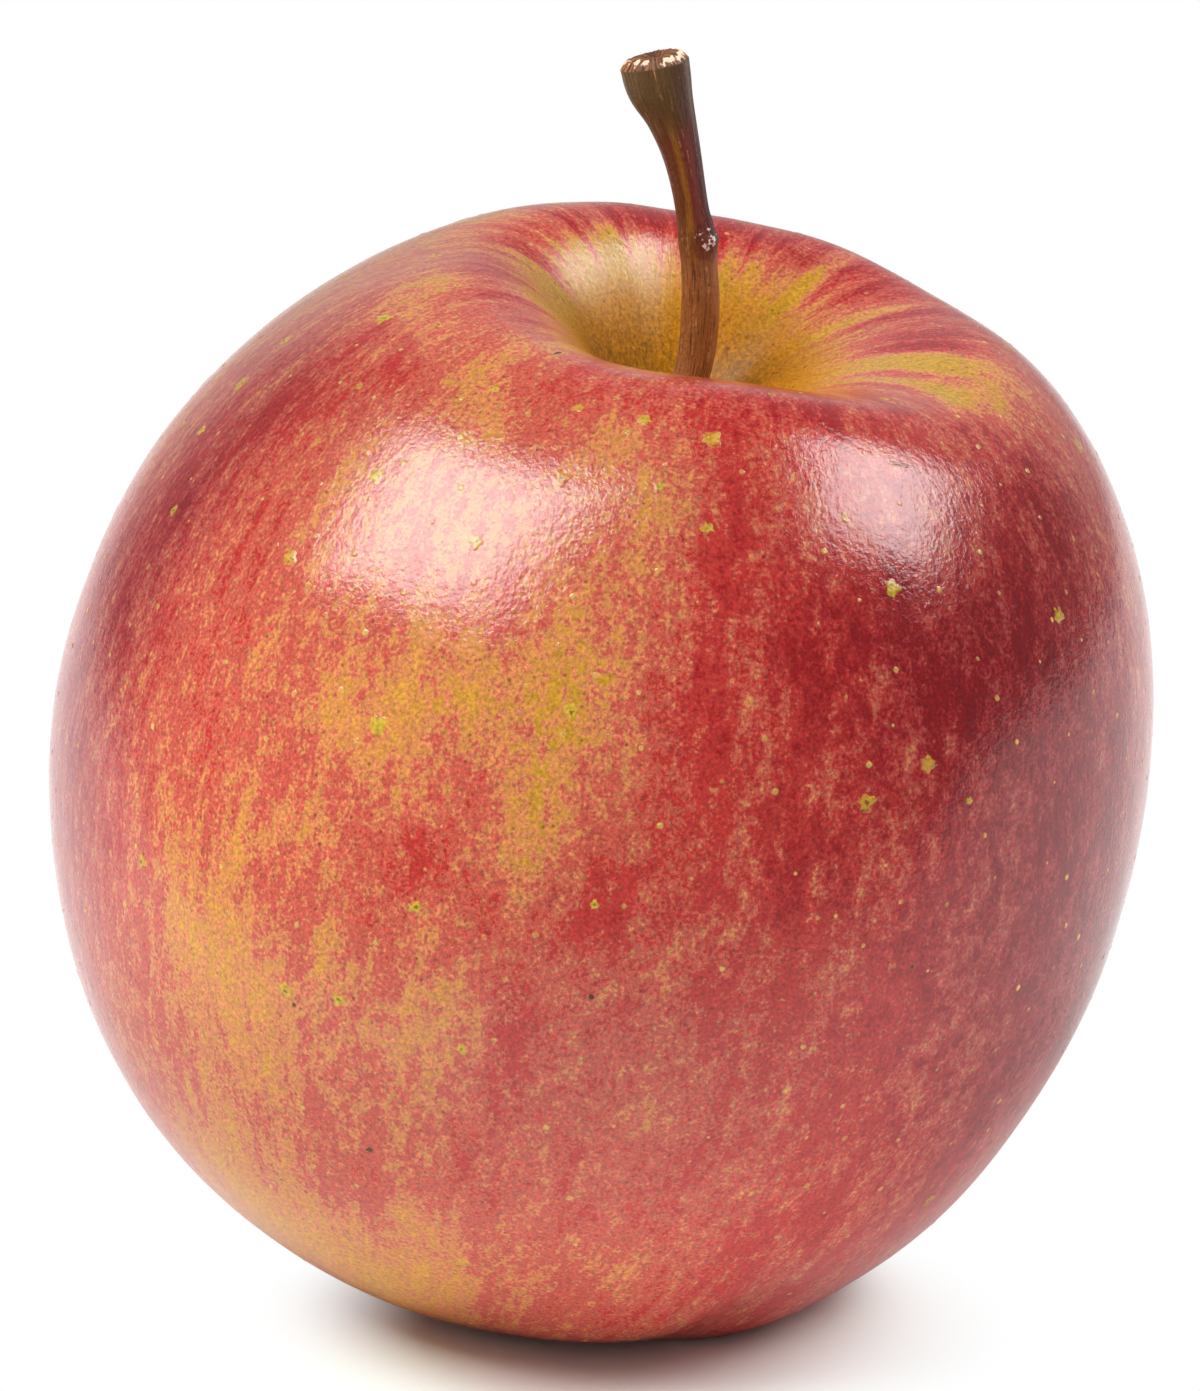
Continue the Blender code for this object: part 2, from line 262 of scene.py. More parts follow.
@dataclass
class Bench:
    """Places nodes in one tree and links them.

    Attributes:
        tree: The material's or the modifier's node tree.
    """

    tree: NodeTree

    def node(self, kind: str, inputs: dict[str | int, object] | None = None, **settings: object) -> Node:
        """Add one node.

        Args:
            kind: The node's type name.
            inputs: What each input gets, by name or by number: a socket to link or a value.
            settings: The node's own options.

        Returns:
            The node.
        """
        made = self.tree.nodes.new(kind)
        made.location = (220.0 * (len(self.tree.nodes) % 12), -180.0 * (len(self.tree.nodes) // 12))
        for name, value in settings.items():
            setattr(made, name, value)
        for key, value in (inputs or {}).items():
            self.feed(made, key, value)
        return made

    def feed(self, node: Node, key: str | int, value: object) -> None:
        """Link a socket to an input, or set the input's own value.

        Args:
            node: The node.
            key: The input's name or number.
            value: A socket or a plain value.
        """
        if isinstance(key, int):
            socket = node.inputs[key]
        else:
            socket = next(s for s in node.inputs if s.name == key and s.enabled)
        if isinstance(value, Socket):
            self.tree.links.new(value, socket)
        else:
            socket.default_value = value

    def out(self, node: Node, name: str) -> Socket:
        """Give the output of that name which the node's settings leave in use."""
        return next(s for s in node.outputs if s.name == name and s.enabled)

    def maths(self, sum_of: Maths, first: object, second: object) -> Socket:
        """Combine two numbers."""
        return self.node("ShaderNodeMath", {0: first, 1: second}, operation=sum_of.value).outputs[0]

    def times(self, first: object, second: object) -> Socket:
        """Multiply two numbers."""
        return self.maths(Maths.MULTIPLY, first, second)

    def left(self, share: Socket) -> Socket:
        """Give what a share leaves of 1."""
        return self.maths(Maths.SUBTRACT, 1.0, share)

    def total(self, *values: object) -> Socket:
        """Add up any count of numbers."""
        result = values[0]
        for value in values[1:]:
            result = self.maths(Maths.ADD, result, value)
        return result

    def spread(self, value: Socket, amount: float) -> Socket:
        """Turn noise round 0.5 into a swing round 0 of that amount."""
        return self.times(self.maths(Maths.SUBTRACT, value, 0.5), amount)

    def step(self, value: Socket, edge: Edge) -> Socket:
        """Ease from 0 to an edge's top value as a number passes the edge."""
        inputs = {"Value": value, "From Min": edge.low, "From Max": edge.high, "To Max": edge.top}
        return self.node("ShaderNodeMapRange", inputs, interpolation_type="SMOOTHSTEP").outputs[0]

    def vector(self, name: str) -> Socket:
        """Read a vector attribute of the piece."""
        return self.node("ShaderNodeAttribute", attribute_name=name).outputs["Vector"]

    def number(self, name: str) -> Socket:
        """Read a single-number attribute of the piece."""
        return self.node("ShaderNodeAttribute", attribute_name=name).outputs["Fac"]

    def place(self) -> Socket:
        """Read the place on the piece itself."""
        return self.node("ShaderNodeTexCoord").outputs["Object"]

    def parts(self, vector: Socket) -> NodeOutputs:
        """Take a vector apart."""
        return self.node("ShaderNodeSeparateXYZ", {0: vector}).outputs

    def cloud(self, vector: Socket, layer: Cloud) -> Socket:
        """Make cloudy noise.

        Args:
            vector: The coordinates that it follows.
            layer: Its sizes.

        Returns:
            A socket with values round 0.5.
        """
        scale = layer.scale
        if isinstance(scale, tuple):
            vector = self.node("ShaderNodeMapping", {"Vector": vector, "Scale": scale}).outputs[0]
            scale = 1.0
        inputs = {
            "Vector": vector, "Scale": scale, "Detail": layer.detail, "Roughness": layer.roughness,
            "Distortion": layer.distortion,
        }
        return self.node("ShaderNodeTexNoise", inputs).outputs[0]

    def mixed(self, share: object, first: object, second: object) -> Socket:
        """Mix two colours by a share."""
        inputs = {0: share, 6: first, 7: second}
        return self.node("ShaderNodeMix", inputs, data_type="RGBA").outputs[2]

    def tinted(self, share: object, colour: Socket, tint: Colour) -> Socket:
        """Multiply a colour by a tint, as far as the share says."""
        inputs = {0: share, 6: colour, 7: tint}
        return self.node("ShaderNodeMix", inputs, data_type="RGBA", blend_type="MULTIPLY").outputs[2]

    def blended(self, share: object, first: object, second: object) -> Socket:
        """Mix two numbers by a share."""
        return self.node("ShaderNodeMix", {0: share, 2: first, 3: second}, data_type="FLOAT").outputs[0]

    def ramp(self, value: Socket, stops: tuple[tuple[float, Colour], ...]) -> Socket:
        """Read a colour off a row of stops.

        Args:
            value: Where to read, from 0 to 1.
            stops: Each stop's place and colour.

        Returns:
            The colour's socket.
        """
        node = self.node("ShaderNodeValToRGB", {"Fac": value})
        elements = node.color_ramp.elements
        while len(elements) < len(stops):
            elements.new(1.0)
        for element, (place, colour) in zip(elements, stops):
            element.position = place
            element.color = colour
        return node.outputs["Color"]

    def bump(self, height: Socket, depth: float, below: Socket | None = None) -> Socket:
        """Raise a surface's shading by a height."""
        inputs = {"Height": height, "Distance": depth, "Strength": 1.0}
        if below is not None:
            inputs["Normal"] = below
        return self.node("ShaderNodeBump", inputs).outputs[0]

    def named(self, name: str, kind: Kind = Kind.NUMBER) -> Socket:
        """Read a named attribute in a Geometry Nodes tree."""
        node = self.node("GeometryNodeInputNamedAttribute", {"Name": name}, data_type=kind.value)
        return self.out(node, "Attribute")

    def kept(
        self, geometry: Socket, name: str, value: Socket, kind: Kind = Kind.NUMBER,
        domain: str = "POINT",
    ) -> Socket:
        """Store a value on a tree's geometry as a named attribute."""
        inputs = {"Geometry": geometry, "Name": name, "Value": value}
        node = self.node("GeometryNodeStoreNamedAttribute", inputs, data_type=kind.value, domain=domain)
        return node.outputs[0]

    def drawn(self, low: object, high: object, seed: Socket, kind: Kind = Kind.NUMBER) -> Socket:
        """Draw a random value for each point or instance."""
        inputs = {"Min": low, "Max": high, "Seed": seed}
        return self.out(self.node("FunctionNodeRandomValue", inputs, data_type=kind.value), "Value")

    def stood(self, spots: Node, shape: Object, turn: Socket, size: Socket) -> Socket:
        """Stand a shape on each scattered point.

        Args:
            spots: The node that scattered the points.
            shape: What stands on each.
            turn: How each one is turned from the surface's own direction.
            size: How large each one is.

        Returns:
            The instances.
        """
        facing = self.node(
            "FunctionNodeRotateRotation",
            {"Rotation": spots.outputs["Rotation"], "Rotate By": turn}, rotation_space="LOCAL",
        )
        source = self.node("GeometryNodeObjectInfo", {"Object": shape})
        inputs = {
            "Points": spots.outputs["Points"], "Instance": source.outputs["Geometry"],
            "Rotation": facing.outputs[0], "Scale": size,
        }
        return self.node("GeometryNodeInstanceOnPoints", inputs).outputs[0]


def new_material(name: str) -> tuple[Material, Bench, Node]:
    """Start a material.

    Args:
        name: The material's name.

    Returns:
        The material, the bench for its tree and its Principled shader.
    """
    material = bpy.data.materials.new(name)
    material.use_nodes = True
    shader = material.node_tree.nodes["Principled BSDF"]
    return material, Bench(material.node_tree), shader


@dataclass
class SkinLayers:
    """The noise layers that the skin's colours share.

    Attributes:
        bench: The material's bench.
        wide: The broad streaks.
        narrow: The fine streaks.
        mottle: The mottling.
        speckle: The finest grain.
        dashes: The short level dashes in the cavity.
    """

    bench: Bench
    wide: Socket
    narrow: Socket
    mottle: Socket
    speckle: Socket
    dashes: Socket

    def swings(self, **amounts: float) -> list[Socket]:
        """Give a swing round 0 for each layer that is named, of the amount that it is given."""
        return [self.bench.spread(getattr(self, name), amount) for name, amount in amounts.items()]


@dataclass(frozen=True)
class SkinFinish:
    """Waxy apple skin: gold under mottled red that runs in streaks from stem to calyx.

    It reads these attributes: grain (streak direction and length), blush (red, flats, deep),
    ground (yellow, russet, and shade, which is painted shade over the top and painted light below
    the equator), dot (how near to the middle of a lenticel), clear (how plain it is), fleck (how
    yellow-green it is) and nick (how dark a mark is). The dyes come first, then the noise layers,
    the edges between looks, the gloss and the depths of the relief.
    """

    gold: Colour = dye(236, 170, 62)
    yellow: Colour = dye(216, 162, 36)
    orange: Colour = dye(232, 150, 80)
    rim: Colour = dye(240, 168, 108)
    salmon: Colour = dye(226, 122, 86)
    coral: Colour = dye(216, 92, 76)
    red: Colour = dye(208, 60, 52)
    crimson: Colour = dye(178, 24, 28)
    ripe: Colour = (0.56, 0.46, 0.70, 1.0)
    wine: Colour = dye(118, 12, 20)
    russet: Colour = dye(212, 136, 18)
    olive: Colour = dye(136, 92, 26)
    dot: Colour = dye(232, 190, 96)
    fleck: Colour = dye(222, 188, 54)
    pore: Colour = dye(110, 38, 18)
    halo: Colour = dye(222, 132, 40)
    bruise: Colour = dye(70, 30, 16)

    wide: Cloud = Cloud((9.0, 9.0, 2.2), 3.0, 0.55, 0.25)
    narrow: Cloud = Cloud((27.0, 27.0, 10.5), 4.0, 0.62, 0.3)
    mottle: Cloud = Cloud((50.0, 50.0, 36.0), 5.0, 0.72, 0.3)
    speckle: Cloud = Cloud(3600.0, 2.0, 0.6)
    dashes: Cloud = Cloud((15.0, 15.0, 80.0), 4.0, 0.65, 0.8)
    dust: Cloud = Cloud(3900.0, 2.0, 0.6)
    dot_rim: Cloud = Cloud(2200.0, 2.0, 0.55)
    peel: Cloud = Cloud(1900.0, 3.0, 0.6, 0.3)
    wax_lines: Cloud = Cloud((120.0, 120.0, 30.0), 2.0, 0.5)
    pores: float = 900.0

    busy_edge: Edge = Edge(0.56, 0.80, 0.7)
    flat_edge: Edge = Edge(0.44, 0.62, 0.75)
    bare_edge: Edge = Edge(0.22, 0.42)
    yellow_edge: Edge = Edge(0.35, 0.65)
    russet_edge: Edge = Edge(0.35, 0.85, 0.85)
    olive_edge: Edge = Edge(0.85, 1.35, 0.65)
    ripe_edge: Edge = Edge(0.05, 0.75)
    wine_edge: Edge = Edge(0.78, 1.15, 0.8)
    pore_edge: Edge = Edge(0.06, 0.15)
    dot_edge: Edge = Edge(0.05, 0.6)
    pit_edge: Edge = Edge(0.86, 1.0, 0.7)
    fleck_edge: Edge = Edge(0.3, 0.7)
    halo_edge: Edge = Edge(0.02, 0.30, 0.5)
    bruise_edge: Edge = Edge(0.30, 0.60, 0.9)
    corky_edge: Edge = Edge(0.05, 0.90)

    roughness: float = 0.12
    refraction: float = 1.55
    waxy_shine: float = 0.5
    corky_shine: float = 0.12
    mottle_depth: float = 0.00002
    peel_depth: float = 0.00004

    def make(self) -> Material:
        """Build the skin's material."""
        material, bench, shader = new_material("apple_skin")
        grain, place = bench.vector("grain"), bench.place()
        blush, ground = bench.parts(bench.vector("blush")), bench.parts(bench.vector("ground"))
        layers = SkinLayers(
            bench, wide=bench.cloud(grain, self.wide), narrow=bench.cloud(grain, self.narrow),
            mottle=bench.cloud(grain, self.mottle), speckle=bench.cloud(place, self.speckle),
            dashes=bench.cloud(grain, self.dashes),
        )
        redness = self.redness(layers, blush)
        colour = self.base_colour(layers, redness, ground)
        colour = self.deepened(layers, colour, blush[2])
        colour, dots = self.dotted(bench, colour, place)
        dust = bench.spread(bench.cloud(place, self.dust), 1.5)
        # the shade multiplies fine random tone by the ground's shade, which is painted shade over the top
        # and painted light below the equator
        shade = bench.times(bench.total(0.98, dust, *layers.swings(mottle=0.30)), ground[2])
        colour = bench.node("ShaderNodeVectorMath", {0: colour, "Scale": shade}, operation="SCALE")
        bench.feed(shader, "Base Color", colour.outputs[0])
        corky = bench.step(ground[1], self.corky_edge)
        dull = (*layers.swings(mottle=0.08), bench.times(dots, 0.15), bench.times(corky, 0.12))
        bench.feed(shader, "Roughness", bench.total(self.roughness, *dull))
        shader.inputs["IOR"].default_value = self.refraction
        bench.feed(shader, "Specular IOR Level", bench.blended(corky, self.waxy_shine, self.corky_shine))
        lines = bench.times(bench.cloud(grain, self.wax_lines), 0.3)
        height = bench.total(bench.cloud(place, self.peel), lines)
        soft = bench.bump(layers.mottle, self.mottle_depth)
        bench.feed(shader, "Normal", bench.bump(height, self.peel_depth, soft))
        return material

    def redness(self, layers: SkinLayers, blush: NodeOutputs) -> Socket:
        """Work out how red each place is, from 0 for gold to 1 for wine.

        Args:
            layers: The noise layers.
            blush: The red, flats and deep attributes.

        Returns:
            The redness socket.
        """
        bench = layers.bench
        busy = bench.total(1.0, bench.step(blush[0], self.busy_edge))
        specks = bench.total(*layers.swings(narrow=0.55, mottle=0.90, speckle=0.55))
        mottled = bench.total(blush[0], *layers.swings(wide=0.45), bench.times(specks, busy))
        even = layers.swings(wide=0.30, narrow=0.20, mottle=0.30, speckle=0.20)
        flat = bench.total(blush[0], 0.08, *even)
        rims = layers.swings(wide=1.6, narrow=1.0, mottle=0.60, speckle=0.60)
        share = bench.step(bench.total(blush[1], 0.03, *rims), self.flat_edge)
        return bench.blended(share, mottled, flat)

    def base_colour(self, layers: SkinLayers, redness: Socket, ground: NodeOutputs) -> Socket:
        """Lay the reds over the ground colour, and the russet over both.

        Args:
            layers: The noise layers.
            redness: How red each place is.
            ground: The yellow, russet and shade attributes.

        Returns:
            The colour.
        """
        stops = (
            (0.00, self.gold), (0.24, self.gold), (0.31, self.orange), (0.42, self.orange),
            (0.44, self.rim), (0.46, self.salmon), (0.52, self.salmon), (0.56, self.coral),
            (0.66, self.coral), (0.68, self.salmon), (0.71, self.red), (0.84, self.red),
            (0.98, self.crimson),
        )
        bench = layers.bench
        colour = bench.ramp(redness, stops)
        bare = bench.left(bench.step(redness, self.bare_edge))
        yellow = bench.step(bench.total(ground[0], *layers.swings(narrow=0.8)), self.yellow_edge)
        colour = bench.mixed(bench.times(bare, yellow), colour, self.yellow)
        rust = bench.total(ground[1], *layers.swings(narrow=0.9, mottle=0.6))
        colour = bench.mixed(bench.step(rust, self.russet_edge), colour, self.russet)
        lines = bench.total(ground[1], *layers.swings(narrow=0.9, dashes=2.2))
        return bench.mixed(bench.step(lines, self.olive_edge), colour, self.olive)

    def deepened(self, layers: SkinLayers, colour: Socket, deep: Socket) -> Socket:
        """Darken the skin towards wine where the sun has ripened it most, and as painted shade on the
        left flank.

        Args:
            layers: The noise layers.
            colour: The colour so far.
            deep: How ripe each place is.

        Returns:
            The darker colour.
        """
        bench = layers.bench
        share = bench.total(deep, *layers.swings(narrow=0.5, mottle=0.3))
        colour = bench.tinted(bench.step(share, self.ripe_edge), colour, self.ripe)
        dark = bench.total(deep, *layers.swings(narrow=1.3, mottle=0.9))
        return bench.mixed(bench.step(dark, self.wine_edge), colour, self.wine)

    def dotted(self, bench: Bench, colour: Socket, place: Socket) -> tuple[Socket, Socket]:
        """Add the finest dark pores, the lenticels' pale middles, the flecks and the nicks.

        Args:
            bench: The material's bench.
            colour: The colour so far.
            place: The place on the piece.

        Returns:
            The colour, and how much of each place is a dot.
        """
        cells = bench.node("ShaderNodeTexVoronoi", {"Vector": place, "Scale": self.pores})
        fine = bench.left(bench.step(cells.outputs["Distance"], self.pore_edge))
        colour = bench.mixed(bench.times(fine, 0.55), colour, self.pore)
        fleck = bench.number("fleck")
        ragged = bench.times(bench.spread(bench.cloud(place, self.dot_rim), 1.7), fleck)
        near = bench.total(bench.number("dot"), ragged)
        dots = bench.times(bench.step(near, self.dot_edge), bench.number("clear"))
        colour = bench.mixed(dots, colour, bench.mixed(fleck, self.dot, self.fleck))
        pit = bench.times(bench.step(near, self.pit_edge), bench.step(fleck, self.fleck_edge))
        colour = bench.mixed(pit, colour, self.pore)
        nick = bench.number("nick")
        colour = bench.mixed(bench.step(nick, self.halo_edge), colour, self.halo)
        return bench.mixed(bench.step(nick, self.bruise_edge), colour, self.bruise), dots


@dataclass(frozen=True)
class StemFinish:
    """Bark of the stem: brown wood below, gold and maroon on the neck, olive at the torn head, with
    painted shade darkening the +X side of the neck and the head.

    It reads the attributes bark (the direction round the stem and how far up, from 0 to 1) and
    torn (painted glints round the bud scar, which also place its maroon tint; pale fibre; and 1 on
    the cut). The dyes come first, then the noise layers, the edges between looks, the roughness
    and the depths of the relief.
    """

    wood: Colour = dye(158, 96, 50)
    edge: Colour = dye(118, 62, 28)
    amber: Colour = dye(164, 104, 28)
    ruddy: Colour = dye(126, 52, 40)
    maroon: Colour = dye(78, 20, 18)
    olive: Colour = dye(108, 80, 38)
    # painted shade: the darker brown on the head's +X side
    shade: Colour = dye(84, 52, 30)
    pale: Colour = dye(216, 168, 120)
    cream: Colour = dye(246, 220, 190)
    glint: Colour = dye(248, 226, 222)
    dark: Colour = dye(62, 32, 16)

    fibres: Cloud = Cloud((5.0, 5.0, 7.0), 4.0, 0.6, 0.4)
    threads: Cloud = Cloud((13.0, 13.0, 18.0), 3.0, 0.6, 0.3)
    grit: Cloud = Cloud(2600.0, 4.0, 0.6)

    neck_edge: Edge = Edge(0.53, 0.63)
    crown_edge: Edge = Edge(0.82, 0.90)
    crown_shade_edge: Edge = Edge(0.55, 0.80)
    low_edge: Edge = Edge(0.50, 0.62, 0.55)
    line_edge: Edge = Edge(0.52, 0.64, 0.7)
    streak_edge: Edge = Edge(0.55, 0.66)
    grit_edge: Edge = Edge(0.40, 0.60)
    foot_edge: Edge = Edge(0.45, 0.05, 0.35)
    tip_edge: Edge = Edge(0.93, 0.99, 0.3)
    fibre_edge: Edge = Edge(0.42, 0.66, 0.9)
    face_edge: Edge = Edge(0.42, 0.58)
    glint_edge: Edge = Edge(1.04, 1.16)
    scar_edge: Edge = Edge(0.1, 0.3)

    roughness: float = 0.42
    shine: float = 0.35
    thread_depth: float = 0.00016
    grit_depth: float = 0.00010

    def make(self) -> Material:
        """Build the bark's material."""
        material, bench, shader = new_material("stem_bark")
        bark = bench.vector("bark")
        parts, torn = bench.parts(bark), bench.parts(bench.vector("torn"))
        fibres, threads = bench.cloud(bark, self.fibres), bench.cloud(bark, self.threads)
        grit = bench.cloud(bench.place(), self.grit)
        height = bench.total(parts[2], bench.spread(fibres, 0.12))
        across = bench.total(0.5, bench.times(parts[0], 0.5), bench.spread(fibres, 0.35))
        # the neck's colours run round the stem from the edge colour on -X to dark maroon on +X; the dark
        # +X side is partly painted shade, and so is the head's shade colour there
        neck = bench.ramp(
            across,
            (
                (0.10, self.edge), (0.28, self.edge), (0.36, self.amber), (0.46, self.amber),
                (0.56, self.ruddy), (0.72, self.ruddy), (0.90, self.maroon),
            ),
        )
        crown = bench.mixed(bench.step(across, self.crown_shade_edge), self.olive, self.shade)
        colour = bench.mixed(bench.step(height, self.neck_edge), self.wood, neck)
        colour = bench.mixed(bench.step(height, self.crown_edge), colour, crown)
        low = bench.left(bench.step(height, self.low_edge))
        lines = bench.times(bench.step(threads, self.line_edge), low)
        colour = bench.mixed(lines, colour, self.dark)
        streaks = bench.times(bench.step(fibres, self.streak_edge), bench.step(grit, self.grit_edge))
        ends = [bench.step(parts[2], edge) for edge in (self.foot_edge, self.tip_edge)]
        colour = bench.mixed(bench.times(streaks, bench.total(0.45, *ends)), colour, self.pale)
        fibre = bench.step(bench.total(torn[1], bench.spread(grit, 2.2)), self.fibre_edge)
        face = bench.mixed(bench.step(threads, self.face_edge), self.dark, self.wood)
        colour = bench.mixed(torn[2], colour, bench.mixed(fibre, face, self.cream))
        # painted highlights: pinkish-white glints on the bud scar's front-right side, with the scar's own
        # maroon tint under them
        glint = bench.step(bench.total(torn[0], bench.spread(grit, 4.6)), self.glint_edge)
        scar = bench.step(torn[0], self.scar_edge)
        colour = bench.mixed(bench.times(scar, 0.45), colour, self.maroon)
        colour = bench.mixed(bench.times(glint, scar), colour, self.glint)
        bench.feed(shader, "Base Color", colour)
        bench.feed(shader, "Roughness", bench.total(self.roughness, bench.spread(grit, 0.5)))
        shader.inputs["Specular IOR Level"].default_value = self.shine
        coarse = bench.bump(threads, self.thread_depth)
        bench.feed(shader, "Normal", bench.bump(grit, self.grit_depth, coarse))
        return material


@dataclass(frozen=True)
class DriedLeafFinish:
    """Dried sepal: dull brown leaf with darker veins and a grey bloom of down."""

    name: str = "dried_leaf"
    leaf: Colour = dye(112, 84, 46)
    dark: Colour = dye(58, 38, 20)
    down: Colour = dye(168, 150, 112)
    blotch: Cloud = Cloud(900.0, 4.0, 0.6)
    fuzz: Cloud = Cloud(4200.0, 3.0, 0.6)
    blotch_edge: Edge = Edge(0.38, 0.62)
    fuzz_edge: Edge = Edge(0.56, 0.72, 0.6)
    roughness: float = 0.78
    shine: float = 0.25
    blotch_depth: float = 0.00012
    fuzz_depth: float = 0.00005

    def make(self) -> Material:
        """Build the leaf's material."""
        material, bench, shader = new_material(self.name)
        place = bench.place()
        blotch, fuzz = bench.cloud(place, self.blotch), bench.cloud(place, self.fuzz)
        colour = bench.mixed(bench.step(blotch, self.blotch_edge), self.leaf, self.dark)
        colour = bench.mixed(bench.step(fuzz, self.fuzz_edge), colour, self.down)
        bench.feed(shader, "Base Color", colour)
        bench.feed(shader, "Roughness", bench.total(self.roughness, bench.spread(blotch, 0.3)))
        shader.inputs["Specular IOR Level"].default_value = self.shine
        coarse = bench.bump(blotch, self.blotch_depth)
        bench.feed(shader, "Normal", bench.bump(fuzz, self.fuzz_depth, coarse))
        return material


@dataclass(frozen=True)
class FloorFinish:
    """Pale paper under the apple. For camera rays it is painted brighter and cooler near the fruit,
    and a little way off the contact shadow's middle it turns to a painted white glow.

    Attributes:
        paper: The grey that the fruit sees.
        seen: The paper's colour near the fruit for camera rays, painted brighter than white and tinted
            against the fruit's red bounce.
        middle: Where the shadow's middle is.
        fade: How far from there the paper turns to a painted white glow.
    """

    paper: Colour = (0.72, 0.72, 0.72, 1.0)
    seen: Colour = (1.02, 1.20, 1.18, 1.0)
    middle: tuple[float, float, float] = (0.002, -0.012, 0.0)
    fade: Edge = Edge(0.014, 0.028)

    def make(self) -> Material:
        """Build the paper's material."""
        material, bench, shader = new_material("pale_floor")
        direct = bench.node("ShaderNodeLightPath").outputs["Is Camera Ray"]
        ends = {0: bench.place(), 1: self.middle}
        away = bench.out(bench.node("ShaderNodeVectorMath", ends, operation="DISTANCE"), "Value")
        # painted glow: for camera rays the paper emits white away from the shadow's middle, and near it
        # takes the brighter, tinted seen colour
        white = bench.times(bench.step(away, self.fade), direct)
        lit = bench.mixed(direct, self.paper, self.seen)
        bench.feed(shader, "Base Color", bench.mixed(white, lit, BLACK))
        shader.inputs["Emission Color"].default_value = WHITE
        bench.feed(shader, "Emission Strength", white)
        shader.inputs["Roughness"].default_value = 0.9
        shader.inputs["Specular IOR Level"].default_value = 0.0
        return material


@dataclass(frozen=True)
class Outline:
    """The fruit's surface in units of its equator radius, before it is placed.

    A station runs from 0 at the stem to 1 at the crest, 2 at the equator, 3 at the standing ring
    and 4 in the middle of the calyx basin. "Side" sizes are added towards +X and "front" sizes
    towards -Y.
    """

    depth_ratio: float = 1.045
    crest_height: float = 1.917
    crest_height_front: float = -0.055
    crest_radius: float = 0.450
    crest_radius_side: float = 0.078
    crest_radius_front: float = 0.083
    cavity_depth: float = 0.34
    equator_height: float = 0.985
    equator_height_side: float = 0.061
    base_radius: float = 0.319
    basin_depth: float = 0.22
    seat_radius: float = 0.045
    seat_dip: float = 0.015
    base_offset: float = 0.244
    crest_inner_reach: float = 0.33
    cavity_wall_reach: float = 0.55
    cavity_floor_reach: float = 0.15
    shoulder_reach: float = 0.226
    upper_flank_reach: float = 0.72
    lower_flank_reach: float = 0.621
    lower_flank_reach_side: float = -0.214
    lower_flank_reach_front: float = -0.08
    base_reach: float = 0.314
    base_reach_side: float = 0.073
    basin_rim_reach: float = 0.45
    basin_floor_reach: float = 0.60
    lobe_count: int = 5
    crest_lobe_height: float = 0.010
    crest_lobe_phase: float = math.radians(-7.0)
    base_lobe_swell: float = 0.013
    base_lobe_rise: float = 0.020
    base_lobe_phase: float = math.radians(7.0)
    flat_spot_cut: float = 0.009
    lean_angle: float = math.radians(10.57)
    lean_full_height: float = 0.90

    @staticmethod
    def curve(start: tuple, start_handle: tuple, end_handle: tuple, end: tuple, t: Array) -> Array:
        """Give radius and height along one cubic arc."""
        weights = ((1 - t) ** 3, 3 * t * (1 - t) ** 2, 3 * t * t * (1 - t), t**3)
        points = (start, start_handle, end_handle, end)
        return np.array([sum(w * p[axis] for w, p in zip(weights, points)) for axis in (0, 1)])

    def floor_height(self) -> float:
        """Give the height of the cavity's floor, where the stem is seated."""
        return self.crest_height - self.cavity_depth

    def seat(self, t: Array) -> Array:
        """Run from the stem's middle out to the cavity's floor, t being how far along."""
        return np.array([self.seat_radius * t, self.floor_height() - self.seat_dip * (1.0 - t * t)])

    def upright(self, station: Array, azimuth: Array) -> Array:
        """Give radius and height of points on the fruit before it leans.

        Args:
            station: Each point's station along the outline.
            azimuth: Each point's direction from the axis, in radians.

        Returns:
            Radius and height stacked on a first axis.
        """
        side = np.cos(azimuth)
        front = -np.sin(azimuth)
        crest_wave = np.cos(self.lobe_count * (azimuth - self.crest_lobe_phase))
        base_wave = np.cos(self.lobe_count * (azimuth - self.base_lobe_phase))
        crest_radius = self.crest_radius + self.crest_radius_side * side
        crest_radius = crest_radius + self.crest_radius_front * front
        crest_height = self.crest_height + self.crest_height_front * front
        crest_height = crest_height + self.crest_lobe_height * crest_wave
        equator = self.equator_height + self.equator_height_side * side
        base_radius = self.base_radius * (1.0 + self.base_lobe_swell * base_wave)
        base_height = self.base_lobe_rise * 0.5 * (1.0 - base_wave)
        floor = self.floor_height()
        outward = crest_radius - self.seat_radius
        drop = self.lower_flank_reach + self.lower_flank_reach_side * side
        drop = drop + self.lower_flank_reach_front * front
        inward = self.base_reach + self.base_reach_side * side
        ends = (
            (self.seat_radius, floor), (crest_radius, crest_height), (1.0, equator),
            (base_radius, base_height), (0.0, self.basin_depth),
        )
        leave = (
            (
                self.seat_radius + outward * self.cavity_floor_reach,
                floor + (crest_height - floor) * self.cavity_wall_reach,
            ),
            (crest_radius + (1.0 - crest_radius) * self.shoulder_reach, crest_height),
            (1.0, equator * (1.0 - drop)),
            (base_radius * (1.0 - self.basin_rim_reach), base_height),
        )
        arrive = (
            (crest_radius * (1.0 - self.crest_inner_reach), crest_height),
            (1.0, equator + (crest_height - equator) * self.upper_flank_reach),
            (base_radius + (1.0 - base_radius) * inward, base_height),
            (base_radius * self.basin_floor_reach, self.basin_depth),
        )
        result = self.seat(station - Arc.SEAT.value)
        for arc, *handles in zip(list(Arc)[1:], ends, leave, arrive, ends[1:]):
            points = self.curve(*handles, station - arc.value)
            result = np.where(station >= arc.value, points, result)
        return result

